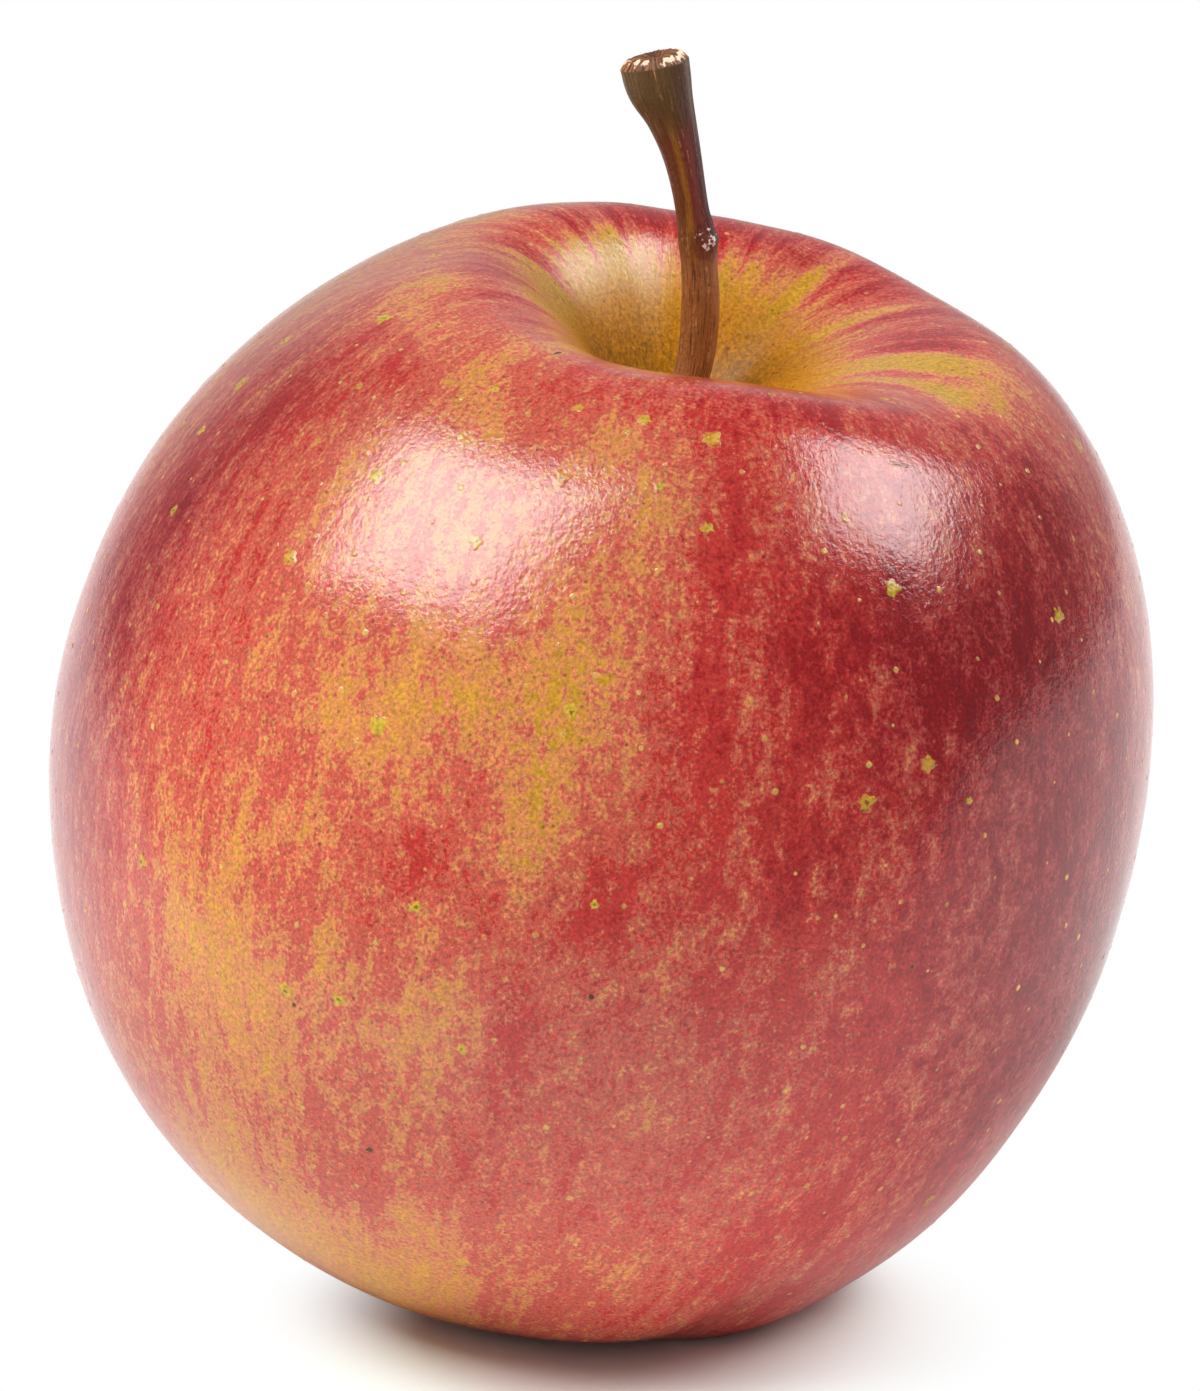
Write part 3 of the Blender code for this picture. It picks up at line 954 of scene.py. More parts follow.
    def leaned(self, x: Array, y: Array, z: Array) -> Array:
        """Bend points of the upright fruit over to +X, more and more up to the flank's middle.

        Args:
            x: Each point's place along X.
            y: Its place along Y.
            z: Its height.

        Returns:
            The points, on a last axis.
        """
        angle = self.lean_angle * ease(z / self.lean_full_height)
        across = x * np.cos(angle) + z * np.sin(angle)
        up = z * np.cos(angle) - x * np.sin(angle)
        return np.stack([across, y, np.maximum(up - self.flat_spot_cut, 0.0)], axis=-1)

    def surface(self, station: Array, azimuth: Array) -> Array:
        """Give places on the fruit's surface, in units of its equator radius.

        Args:
            station: Each place's station along the outline.
            azimuth: Its direction from the axis, in radians.

        Returns:
            The places, on a last axis.
        """
        station, azimuth = np.broadcast_arrays(station, azimuth)
        radius, height = self.upright(station, azimuth)
        low = ease(1.0 - height / self.equator_height)
        x = radius * np.cos(azimuth) + self.base_offset * low
        y = radius * np.sin(azimuth) * self.depth_ratio
        return self.leaned(x, y, height)


@dataclass(frozen=True)
class Fit:
    """How outline units become metres in the frame, worked out from the fruit's CAD box.

    Attributes:
        unit: The equator radius in metres.
        shift: Where the outline's own middle stands.
    """

    unit: float
    shift: Vector

    @classmethod
    def to_box(cls, outline: Outline, node: str) -> Fit:
        """Fit the outline to a CAD node's box.

        Args:
            outline: The fruit's outline.
            node: The name of the fruit's node.

        Returns:
            The fit.
        """
        low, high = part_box(node)
        stations = np.linspace(0.0, 4.0, 161)[:, None]
        azimuths = np.radians(np.arange(0.0, 360.0, 2.0))[None, :]
        points = outline.surface(stations, azimuths).reshape(-1, 3)
        least, most = points.min(axis=0), points.max(axis=0)
        unit = (high[0] - low[0]) / float(most[0] - least[0])
        middle = (least + most) * 0.5 * unit
        x, y = ((low[axis] + high[axis]) * 0.5 - middle[axis] for axis in (0, 1))
        return cls(unit, Vector((x, y, low[2])))

    def metres(self, points: Array) -> Array:
        """Place points given in outline units."""
        return points * self.unit + np.array(self.shift)


@dataclass(frozen=True)
class Spot:
    """A soft-edged spot on the skin, strongest in its middle.

    Attributes:
        azimuth: Its middle, in degrees round the streaks' axis.
        station: Its middle along the outline.
        breadth: Half its width, in degrees.
        length: Half its length, in stations.
    """

    azimuth: float
    station: float
    breadth: float
    length: float

    def weight(self, azimuth: Array, station: Array) -> Array:
        """Give the spot's share at each place."""
        across = turned(azimuth - self.azimuth) / self.breadth
        along = (station - self.station) / self.length
        return np.exp(-across * across - along * along)


@dataclass(frozen=True)
class Patch(Spot):
    """A soft-edged patch of colour on the skin.

    Attributes:
        red: How much redder it is, or less red below 0.
        flats: How much more of it is even, unmottled red.
        deep: How far it darkens to wine.
        yellow: How much yellower the bare ground is.
    """

    red: float = 0.0
    flats: float = 0.0
    deep: float = 0.0
    yellow: float = 0.0


@dataclass(frozen=True)
class Swell(Spot):
    """A low swelling of the flesh, or a hollow if its height is below 0.

    Attributes:
        height: How far the middle stands out.
    """

    height: float = 0.0


BLUSH = (
    # gold and orange windows, from the crest down
    Patch(-101, 1.68, 15, 0.34, red=-0.10, flats=-0.2),
    Patch(-84, 1.42, 24, 0.14, red=-0.08),
    Patch(-114, 1.04, 15, 0.13, red=-0.14),
    Patch(-122, 1.52, 5, 0.08, red=-0.14),
    Patch(-24, 1.04, 18, 0.18, red=-0.30),
    Patch(-82, 2.52, 24, 0.26, red=-0.09),
    Patch(-16, 1.25, 10, 0.28, red=-0.10),
    Patch(-106, 2.64, 12, 0.13, red=-0.12),
    Patch(-118, 2.25, 16, 0.34, red=-0.07),
    Patch(-98, 2.62, 18, 0.22, red=-0.06),
    Patch(-150, 1.15, 12, 0.08, red=-0.19, flats=-0.18, yellow=0.5),
    Patch(-140, 1.25, 10, 0.04, red=-0.16, flats=-0.18, yellow=0.5),
    Patch(-117, 1.28, 8, 0.08, red=-0.14, flats=-0.18, yellow=0.3),
    Patch(-134, 1.36, 3, 0.05, red=-0.12),
    Patch(-107, 1.37, 7, 0.05, red=-0.11),
    Patch(-91, 1.33, 5, 0.09, red=-0.14, flats=-0.18),
    Patch(-85, 1.47, 5, 0.14, red=-0.16, flats=-0.24, yellow=0.2),
    Patch(-107, 1.55, 11, 0.12, red=-0.11, flats=-0.18),
    Patch(-88, 1.76, 6, 0.17, red=-0.24, flats=-0.36, yellow=0.4),
    Patch(-100, 1.78, 7, 0.08, red=-0.19, flats=-0.24, yellow=0.2),
    Patch(-110, 1.82, 6, 0.06, red=-0.13, flats=-0.18),
    Patch(-91, 1.91, 3, 0.06, red=-0.18, flats=-0.24, yellow=0.2),
    Patch(-116, 1.95, 5, 0.04, red=-0.13, flats=-0.12),
    Patch(-106, 2.06, 3, 0.05, red=-0.13, flats=-0.18),
    Patch(-122, 2.09, 7, 0.06, red=-0.15, flats=-0.24, yellow=0.1),
    Patch(-114, 2.15, 6, 0.06, red=-0.13, flats=-0.18),
    Patch(-96, 2.14, 3, 0.10, red=-0.19, flats=-0.24),
    Patch(-130, 2.33, 10, 0.08, red=-0.13, flats=-0.18),
    Patch(-120, 2.46, 16, 0.10, red=-0.19, flats=-0.24),
    Patch(-100, 2.56, 10, 0.10, red=-0.16, flats=-0.24),
    Patch(-77, 2.23, 4, 0.08, red=-0.12, flats=-0.18),
    Patch(-64, 2.03, 4, 0.05, red=-0.11, flats=-0.12, yellow=0.3),
    Patch(-74, 2.50, 4, 0.07, red=-0.10, flats=-0.12),
    Patch(-50, 1.25, 9, 0.10, red=-0.04),
    # broad reds on the left of the front; the first one's deep darkening is painted shade on the left
    # flank, its red the skin's own
    Patch(-155, 1.90, 20, 0.36, red=0.27, deep=0.60),
    Patch(-165, 1.00, 22, 0.24, red=0.12),
    # reds on the far rim and the cavity's far wall
    Patch(95, 0.96, 50, 0.15, red=0.32, deep=0.2),
    Patch(116, 0.86, 26, 0.08, red=0.26, deep=0.1),
    Patch(52, 0.82, 16, 0.12, red=0.30, flats=0.2, deep=0.30),
    # smaller even reds on the left
    Patch(-171, 1.88, 8, 0.12, red=0.24),
    Patch(-147, 2.36, 14, 0.15, red=0.12),
    Patch(-127, 1.36, 4, 0.04, red=0.11, flats=0.18),
    Patch(-150, 1.44, 26, 0.26, red=0.05, deep=0.26),
    Patch(-135, 1.47, 6, 0.12, red=0.11, flats=0.06),
    Patch(-142, 1.54, 4, 0.08, red=0.11, flats=0.18, deep=0.14),
    Patch(-147, 1.72, 6, 0.12, red=0.11, flats=0.12, deep=0.12),
    Patch(-125, 1.93, 4, 0.05, red=0.11, flats=0.18),
    Patch(-139, 2.01, 3, 0.03, red=0.08, flats=0.18),
    Patch(-97, 1.87, 3, 0.04, red=0.10, flats=0.18),
    Patch(-101, 1.95, 3, 0.04, red=0.18, flats=0.42),
    Patch(-104, 2.02, 4, 0.04, red=0.11, flats=0.30),
    Patch(-90, 2.12, 3, 0.08, red=0.10, flats=0.36),
    Patch(-92, 2.33, 3, 0.12, red=0.06, flats=0.24),
    Patch(-104, 2.33, 4, 0.05, red=0.06, flats=0.18),
    # even reds on the right of the front
    Patch(-62, 1.78, 16, 0.40, red=0.06, flats=0.2),
    Patch(-34, 1.88, 12, 0.20, red=0.08),
    Patch(-18, 2.15, 10, 0.14, red=0.14, deep=0.2),
    Patch(-30, 2.12, 22, 0.42, red=0.12, deep=0.60),
    Patch(-62, 1.14, 9, 0.07, red=0.16, flats=0.30, deep=0.06),
    Patch(-75, 1.14, 6, 0.08, red=0.06),
    Patch(-75, 1.45, 5, 0.20, red=0.08, flats=0.12),
    Patch(-77, 1.74, 3, 0.08, red=0.13, flats=0.42),
    Patch(-84, 1.97, 4, 0.04, red=0.14, flats=0.42),
    Patch(-66, 1.63, 5, 0.10, red=0.13, flats=0.30, deep=0.04),
    Patch(-66, 1.91, 4, 0.05, red=0.11, flats=0.18, deep=0.04),
    Patch(-57, 1.56, 2, 0.10, red=0.13, flats=0.30, deep=0.10),
    Patch(-52, 1.70, 14, 0.14, red=0.08, deep=0.10),
    Patch(-43, 1.68, 9, 0.13, red=0.08, deep=0.16),
    Patch(-29, 1.45, 7, 0.16, red=0.10, deep=0.12),
    Patch(-36, 1.20, 6, 0.06, red=0.10, deep=0.10),
    Patch(-84, 2.42, 4, 0.12, red=0.05, flats=0.24),
    Patch(-58, 2.52, 10, 0.16, red=0.05, flats=0.18),
    # fingers over the crest
    Patch(-30, 0.98, 4, 0.18, red=-0.34, flats=-0.4, yellow=0.7),
    Patch(-20, 0.86, 4, 0.14, red=-0.30, flats=-0.4, yellow=0.7),
    Patch(-24, 1.20, 4, 0.10, red=-0.26, flats=-0.4, yellow=0.6),
    Patch(-6, 0.80, 6, 0.12, red=0.36, flats=0.4),
    Patch(-160, 0.90, 13, 0.11, red=0.22, flats=0.2),
)

SWELLS = (
    Swell(-32.0, 1.02, 12.0, 0.22, -0.0005),
    Swell(-135.0, 1.05, 14.0, 0.20, -0.0004),
    Swell(-60.0, 1.20, 22.0, 0.30, 0.0003),
    Swell(93.0, 1.00, 16.0, 0.28, 0.0005),
    Swell(60.0, 1.02, 10.0, 0.25, -0.0003),
    Swell(-71.0, 2.72, 14.0, 0.16, 0.0010),
    Swell(-52.0, 2.72, 9.0, 0.14, -0.0008),
)
# station along the outline: the value there
RED_RUN = {0.0: 0.22, 0.50: 0.24, 0.75: 0.46, 0.95: 0.66, 1.15: 0.60, 1.6: 0.56}
RED_RUN |= {2.0: 0.54, 2.5: 0.51, 2.9: 0.46, 3.3: 0.34, 4.0: 0.28}
FLATS_RUN = {0.0: 0.0, 0.8: 0.15, 1.2: 0.32, 2.0: 0.36, 2.8: 0.36, 3.2: 0.2}
# painted shade and light: a multiplier on the skin's colour, darker over the top and the cavity, lighter
# below the equator
PAINTED_SHADE_AND_LIGHT_RUN = {0.0: 0.66, 0.6: 0.64, 1.0: 0.60, 1.45: 0.62, 1.9: 0.96, 2.4: 1.10, 4.0: 1.10}
# waves round the fruit: their height and how late they start
FINGER_WAVES = {5: (0.12, 0.6), 11: (0.096, 2.0), 19: (0.108, 4.0), 31: (0.096, 1.0), 47: (0.096, 3.0)}


@dataclass
class FruitSkin:
    """The flesh and skin of the fruit, in one closed surface.

    Attributes:
        rings: Rings along each arc of the outline.
        smoothing: How many times the joints between the arcs are evened out.
        joint_width: How broad a joint is, in stations.
        relief_height: How far the skin's slow unevenness reaches.
        relief_size: How broad that unevenness is.
        seed: Picks one unevenness.
        top_pole: Where the streaks' axis is at the stem, in outline units.
        low_pole: Where it is at the standing ring.
        calyx_pole: Where it is in the basin.
    """

    outline: Outline
    fit: Fit
    segments: int = 440
    rings: dict[Arc, int] = field(
        default_factory=lambda: {
            Arc.SEAT: 3, Arc.CAVITY: 46, Arc.SHOULDER: 62, Arc.FLANK: 72, Arc.BASIN: 26,
        }
    )
    smoothing: int = 14
    joint_width: float = 0.16
    relief_height: float = 0.00022
    relief_size: float = 0.009
    seed: int = 4
    top_pole: tuple[float, float] = (0.113, 0.0)
    low_pole: tuple[float, float] = (-0.23, 0.10)
    calyx_pole: tuple[float, float] = (0.05, 0.0)

    def stations(self) -> Array:
        """List the stations of the rings between the two poles."""
        listed: list[float] = []
        for arc, count in self.rings.items():
            listed += [arc.value + step / count for step in range(count)]
        return np.array(listed[1:])

    def grid(self) -> tuple[Array, Array]:
        """Give each ring point's station and azimuth."""
        azimuths = np.linspace(0.0, FULL_TURN, self.segments, endpoint=False)
        return np.meshgrid(self.stations(), azimuths, indexing="ij")

    def smoothed(self, points: Array, stations: Array) -> Array:
        """Round off the joints between the arcs at the crest and at the equator.

        Args:
            points: Ring points in metres.
            stations: The station of each ring.

        Returns:
            The smoothed ring points.
        """
        joints = (bell(stations, arc.value, self.joint_width) for arc in (Arc.SHOULDER, Arc.FLANK))
        share = np.maximum(*joints)[1:-1, None, None] * 0.5
        result = points.copy()
        for _ in range(self.smoothing):
            between = (result[:-2] + result[2:]) * 0.5
            result[1:-1] += (between - result[1:-1]) * share
        return result

    @staticmethod
    def normals(points: Array) -> Array:
        """Work out which way is out at each ring point.

        Args:
            points: Ring points in metres.

        Returns:
            The outward normals.
        """
        along = np.gradient(points, axis=0)
        around = np.roll(points, -1, axis=1) - np.roll(points, 1, axis=1)
        across = np.cross(around, along)
        return -across / np.linalg.norm(across, axis=-1, keepdims=True)

    def streak_azimuth(self, points: Array, station: Array) -> Array:
        """Give each point's direction round the axis that the streaks follow, in radians.

        Args:
            points: Ring points in metres.
            station: Their stations.

        Returns:
            The directions.
        """
        low = ease((station - 0.6) / 2.2)
        under = ease((station - 2.9) / 0.7)
        pole = [
            (top * (1.0 - low) + down * low) * (1.0 - under) + calyx * under
            for top, down, calyx in zip(self.top_pole, self.low_pole, self.calyx_pole)
        ]
        x = points[..., 0] - pole[0] * self.fit.unit
        y = points[..., 1] - pole[1] * self.fit.unit
        return np.arctan2(y, x)

    def pigments(self, azimuth: Array, station: Array) -> tuple[Array, Array]:
        """Work out the slow changes of colour over the skin.

        Args:
            azimuth: Directions round the streaks' axis, in degrees.
            station: Stations along the outline.

        Returns:
            The blush (red, flats, deep) and the ground (yellow, russet, and the painted shade and light)
            at each place.
        """
        flats = self.along(station, FLATS_RUN)
        sunny = np.cos(np.radians(azimuth + 35.0))
        red = self.along(station, RED_RUN)
        red = red + 0.18 * sunny * ease(station / 1.2) * ease((3.4 - station) / 0.6)
        red = red + self.fingers(azimuth) * bell(station, 0.80, 0.22)
        sunlit = bell(turned(azimuth + 40.0), 0.0, 34.0)
        deep = sunlit * (0.42 * bell(station, 1.6, 0.42) + 0.08 * ease((station - 1.4) / 0.6))
        deep = deep * ease((3.2 - station) / 0.7)
        yellow = 0.30 + 0.30 * ease((1.3 - station) / 0.6)
        russet = 1.1 * ease((0.85 - station) / 0.6)
        for patch in BLUSH:
            weight = patch.weight(azimuth, station)
            red = red + patch.red * weight
            flats = flats + patch.flats * weight
            deep = deep + patch.deep * weight
            yellow = yellow + patch.yellow * weight
        # painted shade over the top and painted light below the equator
        shade = self.along(station, PAINTED_SHADE_AND_LIGHT_RUN)
        return np.stack([red, flats, deep], axis=-1), np.stack([yellow, russet, shade], axis=-1)

    @staticmethod
    def along(station: Array, run: dict[float, float]) -> Array:
        """Read a value off a run of them along the outline."""
        return np.interp(station, list(run), list(run.values()))

    @staticmethod
    def fingers(azimuth: Array) -> Array:
        """Give the long red and gold fingers that cross the crest, by direction in degrees."""
        waves = FINGER_WAVES.items()
        return sum(height * np.sin(count * np.radians(azimuth) + late) for count, (height, late) in waves)

    @staticmethod
    def dotted(station: Array) -> Array:
        """Give the lenticels' density: none in the cavity's depth and on the basin's floor."""
        return ease((station - 0.6) / 0.5) * ease((3.7 - station) / 0.3)

    @staticmethod
    def flecked(azimuth: Array, station: Array) -> Array:
        """Give the flecks' density: most on the left shoulder, few below the equator."""
        share = 0.15 + 0.85 * bell(station, 1.25, 0.45) * ease((station - 0.7) / 0.3)
        return share * (0.45 + 0.55 * np.cos(np.radians(turned(azimuth + 120.0) / 1.6)))

    def base(self) -> Object:
        """Build the surface with its colour attributes, before its slow unevenness."""
        station, azimuth = self.grid()
        points = self.fit.metres(self.outline.surface(station, azimuth))
        points = self.smoothed(points, station[:, 0])
        streak = self.streak_azimuth(points, station)
        degrees = np.degrees(streak)
        lift = sum(swell.height * swell.weight(degrees, station) for swell in SWELLS)
        points = points + self.normals(points) * lift[..., None]
        points[..., 2] = np.maximum(points[..., 2], 0.0)
        steps = np.linalg.norm(np.diff(points, axis=0), axis=-1).mean(axis=1)
        length = np.concatenate([[0.0], np.cumsum(steps)]) / self.fit.unit
        run = np.broadcast_to(length[:, None], station.shape)
        blush, ground = self.pigments(degrees, station)
        looks = {
            "grain": np.stack([np.cos(streak), np.sin(streak), run], axis=-1), "blush": blush,
            "ground": ground, "free": ease((2.75 - station) / 0.35) * ease((station - 0.05) / 0.3),
            "dotted": self.dotted(station), "flecked": self.flecked(degrees, station),
        }
        ends = self.outline.surface(np.array([-1.0, 4.0]), np.array([0.0, 0.0]))
        coords = np.vstack([points.reshape(-1, 3), self.fit.metres(ends)])
        sides, pole = self.segments, len(coords) - 2
        poles = cap(pole, 0, sides) + cap(pole + 1, pole - sides, sides, flip=True)
        base = shaped("fruit_base", coords.tolist(), band(len(length), sides) + poles)
        for name, values in looks.items():
            store(base.data, name, self.with_poles(values))
        base.data.shade_smooth()
        return base

    @staticmethod
    def with_poles(values: Array) -> Array:
        """List the rings' values, and after them the mean of the first ring and of the last."""
        listed = values.reshape(-1, *values.shape[2:])
        return np.concatenate([listed, [values[0].mean(axis=0), values[-1].mean(axis=0)]])

    def relief_tree(self, material: Material) -> NodeTree:
        """Build the node tree that lets the surface swell and dip slowly, as grown flesh does.

        Args:
            material: The skin's material.

        Returns:
            The tree.
        """
        sizes = {"Height": self.relief_height, "Size": self.relief_size, "Seed": float(self.seed)}
        tree = new_tree("skin_relief", sizes)
        bench = Bench(tree)
        given = bench.node("NodeGroupInput").outputs
        inputs = {
            "Vector": bench.node("GeometryNodeInputPosition").outputs[0], "W": given["Seed"],
            "Scale": bench.maths(Maths.DIVIDE, 1.0, given["Size"]), "Detail": 1.5,
        }
        waves = bench.node("ShaderNodeTexNoise", inputs, noise_dimensions="4D").outputs[0]
        height = bench.times(bench.maths(Maths.SUBTRACT, waves, 0.5), given["Height"])
        height = bench.times(height, bench.named("free"))
        normal = bench.node("GeometryNodeInputNormal").outputs[0]
        offset = bench.node("ShaderNodeVectorMath", {0: normal, "Scale": height}, operation="SCALE")
        inputs = {"Geometry": given["Geometry"], "Offset": offset.outputs[0]}
        finish_tree(bench, bench.node("GeometryNodeSetPosition", inputs).outputs[0], material)
        return tree

    def build(self, material: Material) -> Object:
        """Build the finished skin, of that material."""
        return grown(self.base(), self.relief_tree(material), "apple_skin")


def new_tree(name: str, sizes: dict[str, float]) -> NodeTree:
    """Start a Geometry Nodes tree with a geometry socket and named sizes.

    Args:
        name: The tree's name.
        sizes: Each size's name and value.

    Returns:
        The tree.
    """
    tree = bpy.data.node_groups.new(name, "GeometryNodeTree")
    tree.interface.new_socket("Geometry", in_out="INPUT", socket_type="NodeSocketGeometry")
    for size, value in sizes.items():
        socket = tree.interface.new_socket(size, in_out="INPUT", socket_type="NodeSocketFloat")
        socket.default_value = value
    tree.interface.new_socket("Geometry", in_out="OUTPUT", socket_type="NodeSocketGeometry")
    return tree


def finish_tree(bench: Bench, geometry: Socket, material: Material) -> None:
    """End a tree: real geometry, smooth faces, its material.

    Args:
        bench: The tree's bench.
        geometry: What the tree has made.
        material: The material that it gets.
    """
    real = bench.node("GeometryNodeRealizeInstances", {"Geometry": geometry})
    smooth = bench.node("GeometryNodeSetShadeSmooth", {"Geometry": real.outputs[0]})
    inputs = {"Geometry": smooth.outputs[0], "Material": material}
    dressed = bench.node("GeometryNodeSetMaterial", inputs)
    bench.node("NodeGroupOutput", {"Geometry": dressed.outputs[0]})


def grown(base: Object, tree: NodeTree, name: str) -> Object:
    """Run a tree on a base object and keep the result as a plain mesh piece.

    Args:
        base: The object that the tree starts from. It is removed.
        tree: The tree.
        name: The piece's name.

    Returns:
        The piece.
    """
    base.modifiers.new(name, "NODES").node_group = tree
    seen = base.evaluated_get(bpy.context.evaluated_depsgraph_get())
    mesh = bpy.data.meshes.new_from_object(seen)
    mesh.name = name
    bpy.data.objects.remove(base, do_unlink=True)
    return linked(name, mesh)


@dataclass(frozen=True)
class DotShape:
    """One small raised dot with an uneven rim, in units of its radius.

    Attributes:
        raggedness: How far the rim wanders.
        profile: Radius and height of each ring, from the rim in.
        seed: Picks one rim.
    """

    name: str
    sides: int = 10
    raggedness: float = 0.12
    profile: tuple[tuple[float, float], ...] = ((1.0, -0.10), (0.66, 0.05), (0.30, 0.085))
    middle: float = 0.05
    seed: int = 1

    def build(self) -> Object:
        """Build the dot as an object of its own, with its nearness to the middle stored."""
        draw = np.random.default_rng(self.seed)
        wander = 1.0 + self.raggedness * draw.uniform(-1.0, 1.0, self.sides)
        points: list[tuple[float, float, float]] = []
        for radius, height in self.profile:
            for side in range(self.sides):
                angle = FULL_TURN * side / self.sides
                reach = radius * wander[side]
                points.append((reach * math.cos(angle), reach * math.sin(angle), height))
        points.append((0.0, 0.0, self.middle))
        shape = shaped(self.name, points, disc(len(self.profile), self.sides, 0))
        near = [1.0 - radius for radius, _ in self.profile for _ in range(self.sides)]
        store(shape.data, "dot", [*near, 1.0])
        return shape


@dataclass
class ScatteredDots:
    """Dots of one kind scattered over the skin, each taking its colour from the skin below.

    Attributes:
        zone: The skin's attribute that says where they are, as a share of the full density.
        spacing: The least distance between two of them.
        density: How many there are at most, for each square metre.
        fleck: How yellow-green and ragged they are.
        seed: Picks one scattering.
    """

    name: str
    shape: DotShape
    zone: str
    spacing: float
    density: float
    least: float
    most: float
    fleck: float
    seed: int

    def tree(self, shape: Object, material: Material) -> NodeTree:
        """Build the node tree that scatters the dots.

        Args:
            shape: The dot's object.
            material: The skin's material.

        Returns:
            The tree.
        """
        sizes = {
            "Spacing": self.spacing, "Density": self.density, "Least Radius": self.least,
            "Most Radius": self.most, "Fleck": self.fleck, "Seed": float(self.seed),
        }
        tree = new_tree(self.name, sizes)
        bench = Bench(tree)
        given = bench.node("NodeGroupInput").outputs
        inputs = {
            "Mesh": given["Geometry"], "Distance Min": given["Spacing"],
            "Density Max": given["Density"], "Density Factor": bench.named(self.zone),
            "Seed": given["Seed"],
        }
        spots = bench.node("GeometryNodeDistributePointsOnFaces", inputs, distribute_method="POISSON")
        spin = bench.drawn(0.0, FULL_TURN, given["Seed"])
        turn = bench.node("ShaderNodeCombineXYZ", {"Z": spin}).outputs[0]
        radius = bench.drawn(given["Least Radius"], given["Most Radius"], given["Seed"])
        placed = bench.stood(spots, shape, turn, radius)
        faintest = bench.total(0.1, bench.times(given["Fleck"], 0.4))
        clear = bench.drawn(faintest, 1.0, bench.maths(Maths.ADD, given["Seed"], 1.0))
        marked = bench.kept(placed, "clear", clear, domain="INSTANCE")
        geometry = bench.node("GeometryNodeRealizeInstances", {"Geometry": marked}).outputs[0]
        for name in PIGMENTS:
            geometry = self.copied(bench, geometry, given["Geometry"], name)
        finish_tree(bench, bench.kept(geometry, "fleck", given["Fleck"]), material)
        return tree

    @staticmethod
    def copied(bench: Bench, geometry: Socket, skin: Socket, name: str) -> Socket:
        """Copy one of the skin's vector attributes onto the dots."""
        inputs = {"Mesh": skin, "Value": bench.named(name, Kind.VECTOR)}
        near = bench.node("GeometryNodeSampleNearestSurface", inputs, data_type=Kind.VECTOR.value)
        return bench.kept(geometry, name, bench.out(near, "Value"), Kind.VECTOR)

    def build(self, skin: Object, material: Material) -> Object:
        """Scatter the dots over the skin.

        Args:
            skin: The finished skin.
            material: Its material.

        Returns:
            The piece.
        """
        shape = self.shape.build()
        base = linked(self.name, skin.data.copy())
        piece = grown(base, self.tree(shape, material), self.name)
        bpy.data.objects.remove(shape, do_unlink=True)
        return piece


LENTICELS = ScatteredDots(
    name="lenticels", shape=DotShape("lenticel"), zone="dotted", spacing=0.0030, density=120000.0,
    least=0.00014, most=0.00036, fleck=0.0, seed=11,
)
LOW_DOME = ((1.0, -0.08), (0.7, 0.012), (0.3, 0.035))
FLECKS = ScatteredDots(
    name="flecks",
    shape=DotShape("fleck", sides=14, raggedness=0.35, profile=LOW_DOME, middle=0.02, seed=3),
    zone="flecked", spacing=0.0042, density=28000.0, least=0.00042, most=0.00098, fleck=1.0, seed=7,
)


@dataclass(frozen=True)
class Mark:
    """One nick, dent or scratch in the skin.

    Attributes:
        azimuth: Its direction from the fruit's axis, in degrees.
        station: Its place along the outline.
        turn: How far its length is turned from level, in degrees.
        darkness: How dark it is.
    """

    azimuth: float
    station: float
    length: float
    width: float
    turn: float
    darkness: float


MARKS = (
    Mark(-117.0, 1.02, 0.0013, 0.0004, -12.0, 0.9),
    Mark(-57.0, 1.30, 0.0019, 0.0004, -20.0, 0.6),
    Mark(-89.5, 2.06, 0.0005, 0.0005, 0.0, 0.9),
    Mark(-56.0, 2.02, 0.0005, 0.0005, 0.0, 0.8),
    Mark(-121.0, 2.12, 0.0006, 0.0005, 0.0, 0.6),
    Mark(-115.0, 2.28, 0.0009, 0.0006, 30.0, 0.7),
)


